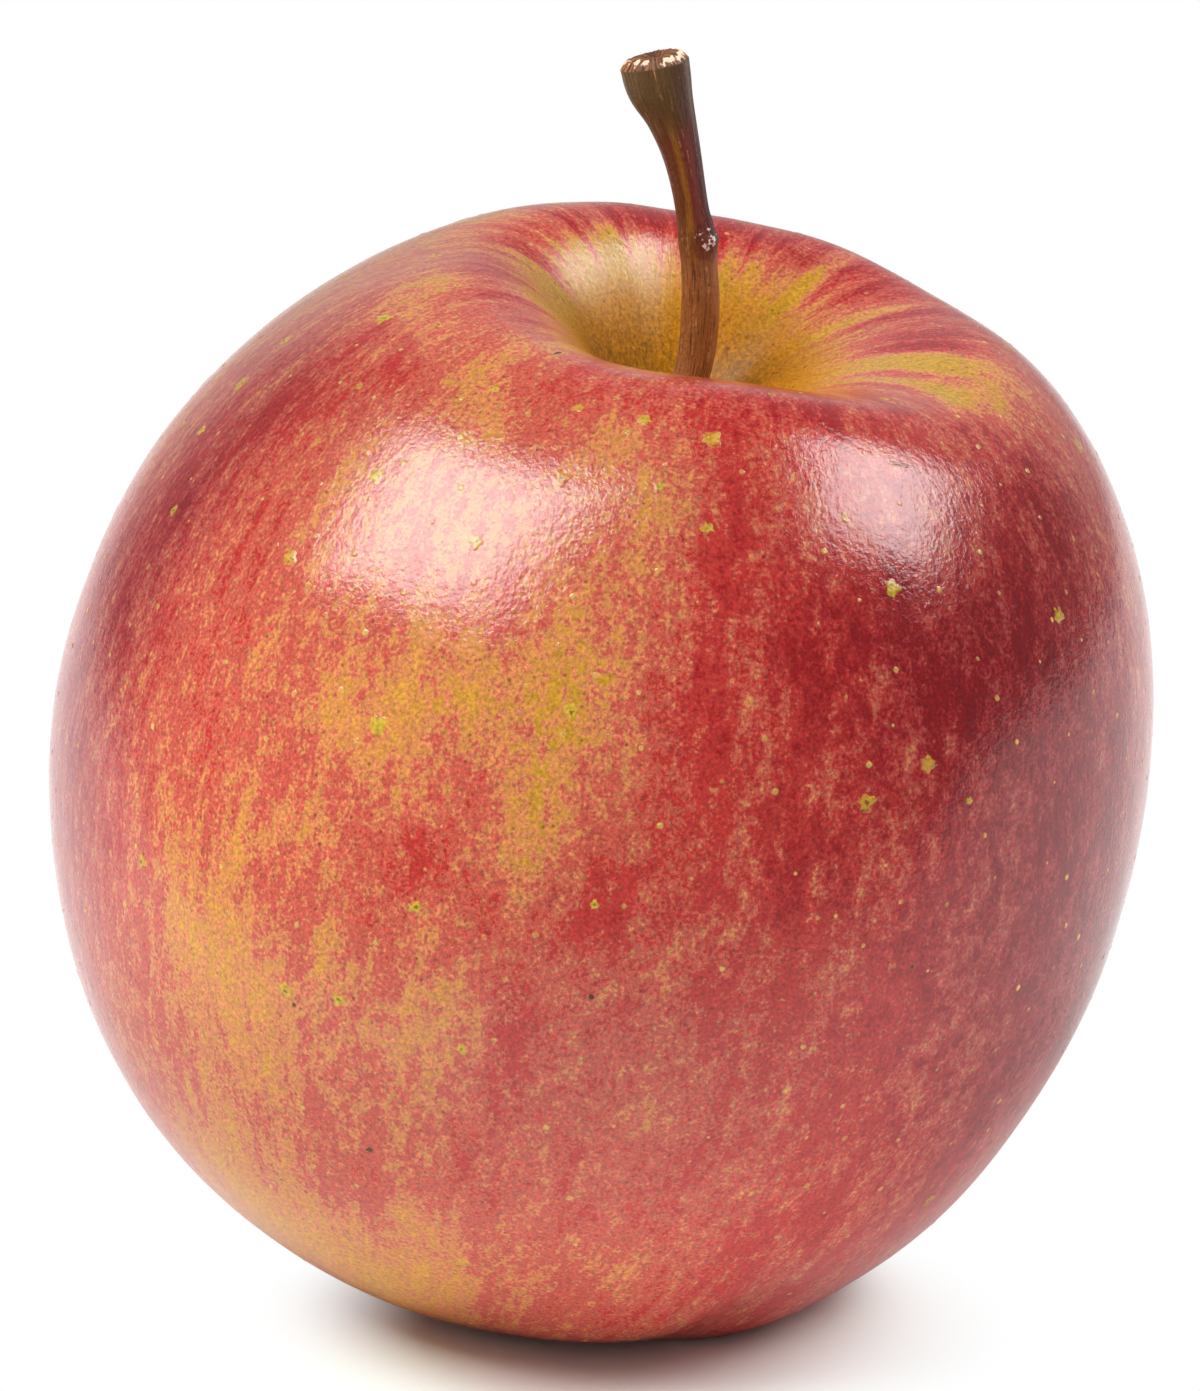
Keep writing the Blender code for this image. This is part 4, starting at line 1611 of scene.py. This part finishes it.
@dataclass
class SkinMarks:
    """The few nicks and the scratch that the skin has from the tree and the crate.

    Attributes:
        profile: Radius and height of each ring, from the rim in.
        clearance: How far the whole mark stands off the skin.
        raggedness: How far the rim wanders.
        first_seed: Picks the first mark's rim, and the next number picks the next mark's.
    """

    outline: Outline
    fit: Fit
    marks: tuple[Mark, ...] = MARKS
    sides: int = 14
    profile: tuple[tuple[float, float], ...] = ((1.0, -0.000008), (0.75, 0.000022), (0.4, 0.000006))
    clearance: float = 0.000004
    raggedness: float = 0.25
    first_seed: int = 20

    def build(self, skin: Object, material: Material) -> Object:
        """Lay each mark on the skin.

        Args:
            skin: The finished skin.
            material: Its material.

        Returns:
            The piece.
        """
        points: list[Vector] = []
        faces: list[Face] = []
        dark: list[float] = []
        for index, mark in enumerate(self.marks):
            faces += disc(len(self.profile), self.sides, len(points))
            for point, darkness in self.laid(mark, self.first_seed + index, skin):
                points.append(point)
                dark.append(darkness)
        piece = shaped("skin_marks", points, faces, material)
        store(piece.data, "nick", dark)
        self.copy_pigments(piece.data, skin)
        return piece

    def laid(self, mark: Mark, seed: int, skin: Object) -> list[tuple[Vector, float]]:
        """Lay one mark, ring by ring, on the skin's own surface.

        Args:
            mark: The mark.
            seed: Picks its rim.
            skin: The finished skin.

        Returns:
            The mark's points, each with its darkness.
        """
        draw = np.random.default_rng(seed)
        wander = 1.0 + self.raggedness * draw.uniform(-1.0, 1.0, self.sides)
        spot = self.outline.surface(np.array([mark.station]), np.array([math.radians(mark.azimuth)]))
        _, centre, normal, _ = skin.closest_point_on_mesh(Vector(self.fit.metres(spot)[0]))
        level = Vector((0.0, 0.0, 1.0)).cross(normal).normalized()
        long_way = Matrix.Rotation(math.radians(mark.turn), 3, normal) @ level
        short_way = normal.cross(long_way)
        laid: list[tuple[Vector, float]] = []
        for radius, lift in (*self.profile, (0.0, 0.0)):
            for side in range(self.sides if radius else 1):
                angle = FULL_TURN * side / self.sides
                reach = radius * wander[side]
                across = long_way * (math.cos(angle) * reach * mark.length * 0.5)
                along = short_way * (math.sin(angle) * reach * mark.width * 0.5)
                _, at, up, _ = skin.closest_point_on_mesh(centre + across + along)
                laid.append((at + up * (lift + self.clearance), mark.darkness * (1.0 - radius**3)))
        return laid

    @staticmethod
    def copy_pigments(mesh: Mesh, skin: Object) -> None:
        """Copy the skin's colours to the marks, each point from the nearest corner of its face.

        Args:
            mesh: The marks.
            skin: The finished skin.
        """
        for name in PIGMENTS:
            source = skin.data.attributes[name].data
            target = mesh.attributes.new(name, Kind.VECTOR.value, "POINT")
            for vertex in mesh.vertices:
                _, at, _, face = skin.closest_point_on_mesh(vertex.co)
                corners = skin.data.polygons[face].vertices
                nearest = min(corners, key=lambda c: (skin.data.vertices[c].co - at).length)
                target.data[vertex.index].vector = source[nearest].vector


@dataclass(frozen=True)
class PathPoint:
    """One point of the stem's middle line, in outline units.

    Attributes:
        x: How far it is towards +X.
        z: Its height.
        radius: The stem's radius there.
    """

    x: float
    z: float
    radius: float


STEM_PATH = (
    PathPoint(0.328, 1.650, 0.033),
    PathPoint(0.364, 1.745, 0.033),
    PathPoint(0.373, 1.870, 0.034),
    PathPoint(0.362, 1.990, 0.030),
    PathPoint(0.344, 2.100, 0.032),
    PathPoint(0.322, 2.185, 0.041),
    PathPoint(0.303, 2.245, 0.053),
    PathPoint(0.294, 2.290, 0.056),
)


@dataclass
class Stem:
    """The woody stalk: a foot in the cavity, ridged bark, a bud scar, a flared and torn head.

    Its heights and lengths are in outline units.

    Attributes:
        outline: The fruit's shape, for the foot's place.
        fit: Where the fruit stands.
        sides: Points round the stem.
        steps: Rings for each span of its middle line.
        scar_swell: How far the scar stands out, as a share of the radius.
        ridges: How deep the bark's ridges are, as a share of the radius.
        head_rings: Each ring of the torn end, as a share of its rim.
    """

    outline: Outline
    fit: Fit
    sides: int = 96
    steps: int = 26
    foot_radius: float = 0.031
    foot_depth: float = 0.052
    scar_height: float = 1.960
    scar_length: float = 0.034
    scar_swell: float = 0.36
    ridges: float = 0.05
    head_start: float = 2.12
    head_length: float = 0.14
    head_rings: tuple[float, ...] = (
        *(0.985, 0.96, 0.93, 0.89, 0.85, 0.80),
        *(0.74, 0.66, 0.56, 0.44, 0.30, 0.15),
    )
    head_dome: float = 0.021
    head_dish: float = 0.014

    def path(self) -> Array:
        """List x, z and radius along the middle line, from the foot to the head."""
        floor = self.outline.floor_height()
        controls = []
        for height in (floor - self.foot_depth, floor):
            foot = self.outline.leaned(np.array(0.0), np.array(0.0), np.array(height))
            controls.append((foot[0], foot[2], self.foot_radius))
        for point in STEM_PATH:
            controls.append((point.x, point.z - self.outline.flat_spot_cut, point.radius))
        rows = np.array([controls[0], *controls, controls[-1]])
        listed = []
        for span in range(1, len(rows) - 2):
            before, start, end, after = rows[span - 1 : span + 3]
            leave, arrive = (end - before) * 0.5, (after - start) * 0.5
            for t in np.linspace(0.0, 1.0, self.steps, endpoint=False):
                listed.append(
                    start * (2 * t**3 - 3 * t**2 + 1)
                    + leave * (t**3 - 2 * t**2 + t)
                    + end * (3 * t**2 - 2 * t**3)
                    + arrive * (t**3 - t**2)
                )
        return np.array([*listed, rows[-1]])

    def swell(self, angles: Array, heights: Array) -> tuple[Array, Array]:
        """Give how much thicker or thinner the stem is all over, and where painted glints go on the scar.

        Args:
            angles: Directions round the stem.
            heights: Heights in outline units.

        Returns:
            The swelling as a share of the radius, and the share of painted glints on the scar's
            front-right side.
        """
        run = heights * 30.0
        coarse = 0.5 * np.sin(5.0 * angles + 0.5 * np.sin(run * 0.21))
        fine = 0.3 * np.sin(9.0 * angles + 1.3 + 0.8 * np.sin(run * 0.37))
        knots = 0.4 * np.sin(run * 0.9 + 2.0 * np.sin(angles)) * np.sin(run * 0.31 + 1.0)
        body = self.ridges * (coarse + fine + knots)
        from_scar = (heights - self.scar_height) / self.scar_length
        facing = np.clip(np.cos(angles + 0.35), 0.0, 1.0) ** 3
        scar = facing * bell(from_scar, 0.0, 1.0)
        lips = 0.45 * np.cos(from_scar * 5.5) * scar
        collar = 0.06 * bell(from_scar * 1.3, 0.0, 1.0)
        # painted glints: a pale highlight on the scar's side that faces front-right
        lit = np.clip(np.cos(angles + 0.95), 0.0, 1.0) ** 3
        glints = lit * np.exp(-from_scar * from_scar * 1.6)
        return body + self.scar_swell * (scar * 0.8 + lips * 0.35) + collar, glints

    def head_shape(self, angles: Array, heights: Array) -> Array:
        """Give how far the head flares unevenly: a corner that bulges to -X and a flatter back.

        Args:
            angles: Directions round the stem.
            heights: Heights in outline units.

        Returns:
            The flare as a share of the radius.
        """
        degrees = np.degrees(angles)
        corner = bell(turned(degrees - 185.0), 0.0, 38.0)
        second = bell(turned(degrees - 310.0), 0.0, 34.0)
        flat = bell(turned(degrees - 90.0), 0.0, 50.0)
        share = ease((heights - self.head_start) / self.head_length)
        return (0.22 * corner + 0.10 * second - 0.10 * flat) * share

    def build(self, material: Material) -> Object:
        """Build the stem.

        Args:
            material: The bark.

        Returns:
            The piece.
        """
        path = self.path()
        angles = np.linspace(0.0, FULL_TURN, self.sides, endpoint=False)
        heights = path[:, 1:2]
        centres = np.stack([path[:, 0], np.zeros(len(path)), path[:, 1]], axis=-1)
        tangents = np.gradient(centres, axis=0)
        tangents /= np.linalg.norm(tangents, axis=-1, keepdims=True)
        depth = np.array([0.0, 1.0, 0.0])
        across = np.cross(depth, tangents)
        # scar here holds the painted glints round the bud scar
        thicker, scar = self.swell(angles[None, :], heights)
        reach = path[:, 2:3] * (1.0 + thicker + self.head_shape(angles[None, :], heights))
        offset = across[:, None, :] * np.cos(angles)[:, None] + depth * np.sin(angles)[:, None]
        rings = centres[:, None, :] + offset * reach[..., None]
        rim, cut = self.head(rings[-1], centres[-1], tangents[-1], angles)
        middle = rim[-1].mean(axis=0) - tangents[-1] * 0.001
        points = [rings.reshape(-1, 3), rim.reshape(-1, 3), centres[0], middle]
        coords = self.fit.metres(np.vstack(points))
        tips = (len(coords) - 2, len(coords) - 1)
        faces = closed(len(rings) + len(rim), self.sides, 0, tips)
        piece = shaped("stem_wood", coords.tolist(), faces, material)
        self.dress(piece.data, angles, heights[:, 0], scar, cut)
        return piece

    def head(self, edge: Array, centre: Array, axis: Array, angles: Array) -> tuple[Array, Array]:
        """Build the torn end: rounded over at the rim, with curled fibre ends round a shallow dish.

        Args:
            edge: The last ring of bark.
            centre: The middle of that ring.
            axis: The stem's direction there.
            angles: Directions round the stem.

        Returns:
            The cut's rings and how much each is pale fibre.
        """
        rings, pale = [], []
        for share in self.head_rings:
            fibres = self.unevenness(angles + 0.5 * share, 6.5, share * 5.0)
            wrinkles = self.unevenness(angles, 7.0 * share, 3.0)
            rim = math.exp(-(((share - 0.84) / 0.12) ** 2))
            dome = self.head_dome * (1.0 - share**5)
            dome -= self.head_dish * math.exp(-((share / 0.45) ** 2))
            lift = dome + 0.007 * fibres * rim + 0.006 * wrinkles * (1.0 - share)
            rings.append(centre + (edge - centre) * share + axis * lift[:, None])
            pale.append(np.clip(rim * (0.55 + 1.9 * fibres), 0.0, 1.0))
        return np.array(rings), np.array(pale)

    @staticmethod
    def unevenness(angles: Array, reach: float, level: float) -> Array:
        """Read noise round a circle."""
        spots = [(math.cos(a) * reach, math.sin(a) * reach, level) for a in angles]
        return np.array([noise.noise(Vector(spot)) for spot in spots])

    def dress(self, mesh: Mesh, angles: Array, heights: Array, scar: Array, cut: Array) -> None:
        """Store what the bark's material reads on the stem's points.

        Args:
            mesh: The stem.
            angles: Directions round it.
            heights: The bark rings' heights in outline units.
            scar: The share of painted glints round the bud scar on each bark point.
            cut: The pale fibre's share on each of the head's points.
        """
        low, high = heights[0], heights[-1]
        shares = np.concatenate([(heights - low) / (high - low), np.ones(len(cut))])
        bark = np.zeros((len(shares), self.sides, 3))
        bark[..., 0] = np.cos(angles)
        bark[..., 1] = np.sin(angles)
        bark[..., 2] = shares[:, None]
        torn = np.zeros_like(bark)
        torn[: len(heights), :, 0] = scar
        torn[len(heights) :, :, 1] = cut
        torn[len(heights) :, :, 2] = 1.0
        ends = np.array([[0.0, 0.0, 0.0], [0.0, 0.0, 1.0]])
        for name, values in (("bark", bark), ("torn", torn)):
            store(mesh, name, np.vstack([values.reshape(-1, 3), ends]))


@dataclass
class Sepal:
    """One dried sepal: a curled, cupped leaf with a wrinkled edge.

    Attributes:
        number: Its number in the ring, from 1.
        floor: The middle of the basin's floor.
        count: How many sepals the ring has.
        rows: Faces along it.
        columns: Faces across it.
        tip_share: The tip's width, as a share of the full one.
        cup: How far its edges turn in.
        curl: How far it bends from foot to tip.
        start_angle: How far it leans out at the foot.
        gap: How far it hangs clear of the basin's floor.
    """

    number: int
    floor: Vector
    count: int = 5
    rows: int = 30
    columns: int = 14
    ring_radius: float = 0.0028
    length: float = 0.0068
    width: float = 0.0026
    thickness: float = 0.00034
    tip_share: float = 0.10
    cup: float = 0.0004
    curl: float = math.radians(70.0)
    start_angle: float = math.radians(12.0)
    gap: float = 0.00045

    def half_width(self, share: float) -> float:
        """Give half its width at a share of its length."""
        fullness = math.sin(math.pi * (0.30 + 0.66 * share))
        return 0.5 * (self.width * max(fullness, self.tip_share))

    def build(self, material: Material) -> Object:
        """Build the sepal.

        Args:
            material: The dried leaf.

        Returns:
            The piece.
        """
        index = self.number - 1
        curl = self.curl * (0.8 + 0.1 * (index * 3 % self.count))
        step = self.length / self.rows
        radius, drop = self.ring_radius, self.gap
        points: list[Vector] = []
        for share in (row / self.rows for row in range(self.rows + 1)):
            for column in range(self.columns + 1):
                across = 2.0 * column / self.columns - 1.0
                wave = noise.noise(Vector((share * 7.0, across * 2.2, self.number * 3.7)))
                rib = 0.00012 * math.exp(-((across / 0.18) ** 2))
                inward = self.cup * across * across + 0.00035 * wave * (0.3 + abs(across)) + rib
                edge = 1.0 + 0.10 * noise.noise(Vector((share * 16.0, 9.0 * (across > 0), self.number)))
                points.append(Vector((radius - inward, across * self.half_width(share) * edge, -drop)))
            heading = self.start_angle + curl * share
            radius += step * math.sin(heading)
            drop += step * math.cos(heading)
        width = self.columns + 1
        corners = [row * width + column for row in range(self.rows) for column in range(self.columns)]
        faces = [(at, at + 1, at + width + 1, at + width) for at in corners]
        turn = Matrix.Rotation(FULL_TURN * (index + 0.5) / self.count, 4, "Z")
        place = Matrix.Translation(self.floor) @ turn
        piece = shaped(f"dried_sepal_{self.number}", [place @ point for point in points], faces, material)
        wall = piece.modifiers.new("thickness", "SOLIDIFY")
        wall.thickness = self.thickness
        wall.offset = 0.0
        return piece


@dataclass
class Stamens:
    """The dried stamens: thin filaments with shrivelled heads, standing on a downy cushion.

    Attributes:
        floor: The middle of the basin's floor.
        cushion_rings: Rings from its foot to its widest place.
        gap: How far it hangs clear of the basin's floor.
        filament: A filament's length.
        thickness: A filament's radius at its foot.
        bend: How far its head is off to one side, as a share of its length.
        spacing: The least distance between two, as a share of the cushion's radius.
        density: How many there are at most, for each square metre.
    """

    floor: Vector
    radius: float = 0.0013
    cushion_height: float = 0.0009
    cushion_rings: int = 12
    cushion_sides: int = 40
    gap: float = 0.00005
    filament: float = 0.0024
    filament_rows: int = 9
    filament_sides: int = 6
    thickness: float = 0.00011
    bend: float = 0.18
    spacing: float = 0.30
    density: float = 3.0e7
    seed: int = 6

    def filament_shape(self) -> Object:
        """Build one filament with its head, standing on its foot, of length 1."""
        rows, sides = self.filament_rows + 1, self.filament_sides
        points: list[tuple[float, float, float]] = []
        for share in (row / self.filament_rows for row in range(rows)):
            middle = self.bend * share * share
            head = 2.3 * math.exp(-(((share - 0.92) / 0.07) ** 2))
            reach = self.thickness / self.filament * (1.0 - 0.45 * share + head)
            for angle in (FULL_TURN * side / sides for side in range(sides)):
                points.append((middle + reach * math.cos(angle), reach * math.sin(angle), share))
        points += [(0.0, 0.0, 0.0), (self.bend, 0.0, 1.01)]
        faces = closed(rows, sides, 0, (rows * sides, rows * sides + 1), flip=True)
        return shaped("filament", points, faces)

    def cushion(self) -> Object:
        """Build the cushion as a low, uneven dome that faces down."""
        rings, sides = 2 * self.cushion_rings, self.cushion_sides
        place = self.floor - Vector((0.0, 0.0, self.gap))
        points = [Vector((0.0, 0.0, 0.0))]
        for polar in (math.pi * ring / rings for ring in range(1, rings)):
            for angle in (FULL_TURN * side / sides for side in range(sides)):
                spot = Vector((math.cos(angle) * 3.0, math.sin(angle) * 3.0, polar * 3.0))
                bumps = noise.noise(spot)
                across = self.radius * (1.0 + 0.12 * bumps) * math.sin(polar)
                drop = self.cushion_height * (1.0 - math.cos(polar)) * (1.0 + 0.10 * bumps)
                points.append(Vector((across * math.cos(angle), across * math.sin(angle), -drop)))
        points.append(Vector((0.0, 0.0, -2.0 * self.cushion_height)))
        faces = closed(rings - 1, sides, 1, (0, len(points) - 1))
        return shaped("cushion", [point + place for point in points], faces)

    def tree(self, filament: Object, material: Material) -> NodeTree:
        """Build the node tree that stands the filaments on the cushion's lower side.

        Args:
            filament: One filament, of length 1.
            material: What cushion and filaments are made of.

        Returns:
            The tree.
        """
        sizes = {
            "Filament Length": self.filament, "Spacing": self.radius * self.spacing,
            "Seed": float(self.seed),
        }
        tree = new_tree("standing_stamens", sizes)
        bench = Bench(tree)
        given = bench.node("NodeGroupInput").outputs
        down = bench.parts(bench.node("GeometryNodeInputNormal").outputs[0])["Z"]
        below = bench.node("FunctionNodeCompare", {0: down, 1: -0.35}, operation="LESS_THAN")
        inputs = {
            "Mesh": given["Geometry"], "Selection": below.outputs[0],
            "Distance Min": given["Spacing"], "Density Max": self.density, "Seed": given["Seed"],
        }
        spots = bench.node("GeometryNodeDistributePointsOnFaces", inputs, distribute_method="POISSON")
        tilt = bench.drawn((-0.35, -0.35, 0.0), (0.35, 0.35, 6.28), given["Seed"], Kind.VECTOR)
        share = bench.drawn(0.65, 1.05, given["Seed"])
        stood = bench.stood(spots, filament, tilt, bench.times(share, given["Filament Length"]))
        joined = bench.node("GeometryNodeJoinGeometry", {"Geometry": given["Geometry"]})
        tree.links.new(stood, joined.inputs[0])
        finish_tree(bench, joined.outputs[0], material)
        return tree

    def build(self, material: Material) -> Object:
        """Build the tuft of stamens.

        Args:
            material: What it is made of.

        Returns:
            The piece.
        """
        filament = self.filament_shape()
        piece = grown(self.cushion(), self.tree(filament, material), "dried_stamens")
        bpy.data.objects.remove(filament, do_unlink=True)
        return piece


@dataclass(frozen=True)
class SoftBox:
    """One soft box: a square light panel that faces the fruit.

    Attributes:
        azimuth: Its direction from the fruit, in degrees.
        elevation: How high it stands, in degrees.
        turn: How far it is turned in its own plane, in degrees.
        power: Its strength in watts.
        distance: How far it stands from the fruit.
    """

    name: str
    azimuth: float
    elevation: float
    width: float
    height: float
    turn: float
    power: float
    distance: float = 1.3

    def place(self, target: Vector) -> None:
        """Set the light up.

        Args:
            target: The place that it faces.
        """
        light = bpy.data.lights.new(self.name, "AREA")
        light.shape = "RECTANGLE"
        light.size = self.width
        light.size_y = self.height
        light.energy = self.power
        azimuth, elevation = math.radians(self.azimuth), math.radians(self.elevation)
        level = math.cos(elevation)
        heading = Vector((math.cos(azimuth) * level, math.sin(azimuth) * level, math.sin(elevation)))
        panel = linked(self.name, light)
        panel.location = target + heading * self.distance
        aim = (-heading).to_track_quat("-Z", "Y").to_matrix()
        panel.rotation_euler = (aim @ Matrix.Rotation(math.radians(self.turn), 3, "Z")).to_euler()
        panel.visible_camera = False


SOFT_BOXES = (
    SoftBox("soft_box_left", -155.0, 56.0, 0.88, 0.80, 15.0, 20.0),
    SoftBox("soft_box_right", 4.0, 44.0, 0.80, 0.62, 20.0, 12.5),
)


@dataclass
class Studio:
    """The pale floor, the soft light and the camera.

    Attributes:
        target: The fruit's middle.
        lens: The camera's focal length in millimetres.
        camera_elevation: How high it looks from, in degrees.
        camera_rise: How far its aim is above the fruit's middle, in degrees.
        backdrop_bearing: How far the bright wall behind the fruit is turned to +X, in degrees.
        backdrop_edge: The wall's side edges, as the cosine of how far off its middle they are.
        backdrop_top: The wall's upper edge, as the sine of its height.
        dim: How bright the room is elsewhere.
        bounce: How bright the light from below is, and the edge where it starts.
        bright: How bright the wall is.
        seen: How bright the room looks behind the fruit.
    """

    target: Vector
    boxes: tuple[SoftBox, ...] = SOFT_BOXES
    lens: float = 198.45
    camera_distance: float = 0.546
    camera_elevation: float = 16.0
    camera_rise: float = 0.6635
    floor_edge: tuple[tuple[float, float], ...] = (
        (4.0, -0.075), (4.0, 6.0), (-4.0, 6.0), (-4.0, 1.6), (-0.30, 0.08), (-0.05, -0.075),
    )
    backdrop_bearing: float = 8.0
    backdrop_edge: Edge = Edge(0.72, 0.82)
    backdrop_top: Edge = Edge(0.70, 0.90)
    dim: float = 0.26
    bounce: Edge = Edge(0.05, 0.8, 1.0)
    bright: float = 0.48
    seen: float = 1.05

    def build(self) -> None:
        """Set up everything that isn't part of the fruit."""
        self.lay_floor()
        self.hang_world()
        for box in self.boxes:
            box.place(self.target)
        self.stand_camera()
        bpy.context.scene.view_settings.view_transform = "Standard"

    def lay_floor(self) -> None:
        """Lay the floor as one wide sheet of paper that starts just in front of the fruit."""
        corners = [(x, y, 0.0) for x, y in self.floor_edge]
        floor = shaped("paper_floor", corners, [tuple(range(len(corners)))], FloorFinish().make())

    def hang_world(self) -> None:
        """Surround the fruit with a white room, darker on the camera's side."""
        world = bpy.data.worlds.new("white_room")
        world.use_nodes = True
        bpy.context.scene.world = world
        bench = Bench(world.node_tree)
        background = world.node_tree.nodes["Background"]
        parts = bench.parts(bench.node("ShaderNodeTexCoord").outputs["Generated"])
        squares = [bench.maths(Maths.POWER, parts[axis], 2.0) for axis in (0, 1)]
        level = bench.maths(Maths.POWER, bench.total(*squares), 0.5)
        bearing = math.radians(self.backdrop_bearing)
        ahead = [bench.times(parts[1], math.cos(bearing)), bench.times(parts[0], math.sin(bearing))]
        facing = bench.maths(Maths.DIVIDE, bench.total(*ahead), level)
        wall = bench.step(facing, self.backdrop_edge)
        under = bench.left(bench.step(parts[2], self.backdrop_top))
        bounce = bench.total(self.dim, bench.step(bench.times(parts[2], -1.0), self.bounce))
        room = bench.blended(bench.times(wall, under), bounce, self.bright)
        direct = bench.node("ShaderNodeLightPath").outputs["Is Camera Ray"]
        bench.feed(background, "Strength", bench.blended(direct, room, self.seen))
        background.inputs["Color"].default_value = WHITE

    def stand_camera(self) -> None:
        """Stand the camera in front of the fruit, looking down a little."""
        elevation = math.radians(self.camera_elevation)
        camera = bpy.data.cameras.new("camera")
        camera.lens = self.lens
        camera.sensor_width = 36.0
        camera.clip_end = 50.0
        stand = linked("camera", camera)
        back = Vector((0.0, -math.cos(elevation), math.sin(elevation)))
        stand.location = self.target + back * self.camera_distance
        tilt = math.radians(90.0 - self.camera_elevation + self.camera_rise)
        stand.rotation_euler = (tilt, 0.0, 0.0)
        bpy.context.scene.camera = stand


@dataclass
class Apple:
    """The whole apple, piece by piece, in the CAD model's place.

    Attributes:
        dots: What is scattered over the skin.
        stamen_finish: The dried leaf's finish in the tuft's darker dyes.
    """

    outline: Outline = field(default_factory=Outline)
    dots: tuple[ScatteredDots, ...] = (LENTICELS, FLECKS)
    stamen_finish: DriedLeafFinish = DriedLeafFinish(
        name="dried_stamen", leaf=dye(96, 70, 42), dark=dye(40, 27, 16), down=dye(150, 132, 98)
    )
    body: str = "root"

    def build(self) -> None:
        """Build and attach every piece."""
        fit = Fit.to_box(self.outline, "fruit")
        skin = SkinFinish().make()
        fruit = FruitSkin(self.outline, fit).build(skin)
        self.attach(fruit, "fruit")
        for dots in self.dots:
            self.attach(dots.build(fruit, skin), "fruit")
        self.attach(SkinMarks(self.outline, fit).build(fruit, skin), "fruit")
        self.attach(Stem(self.outline, fit).build(StemFinish().make()), "stem")
        floor = Vector(fit.metres(self.outline.surface(np.array([4.0]), np.array([0.0])))[0])
        leaf = DriedLeafFinish().make()
        for number in range(1, 6):
            self.attach(Sepal(number, floor).build(leaf), f"calyx_sepal_{number}")
        tuft = Stamens(floor).build(self.stamen_finish.make())
        self.attach(tuft, "calyx_stamens")

    def attach(self, piece: Object, node: str) -> None:
        """Let a piece stand for a CAD node, and report it.

        Args:
            piece: The piece.
            node: The CAD node that it stands for.
        """
        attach(piece, self.body)
        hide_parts(node)
        triangles = sum(len(face.vertices) - 2 for face in piece.data.polygons)
        LOG.info("%s stands for %s, %d triangles before its modifiers", piece.name, node, triangles)


def main() -> None:
    """Build the apple and its studio."""
    logging.basicConfig(level=logging.INFO, format="%(name)s: %(message)s")
    Apple().build()
    middle = Vector((0.0, 0.0, MIDDLE_SHARE * CAD_BOX[1][2]))
    Studio(middle).build()


if __name__ == "__main__":
    main()
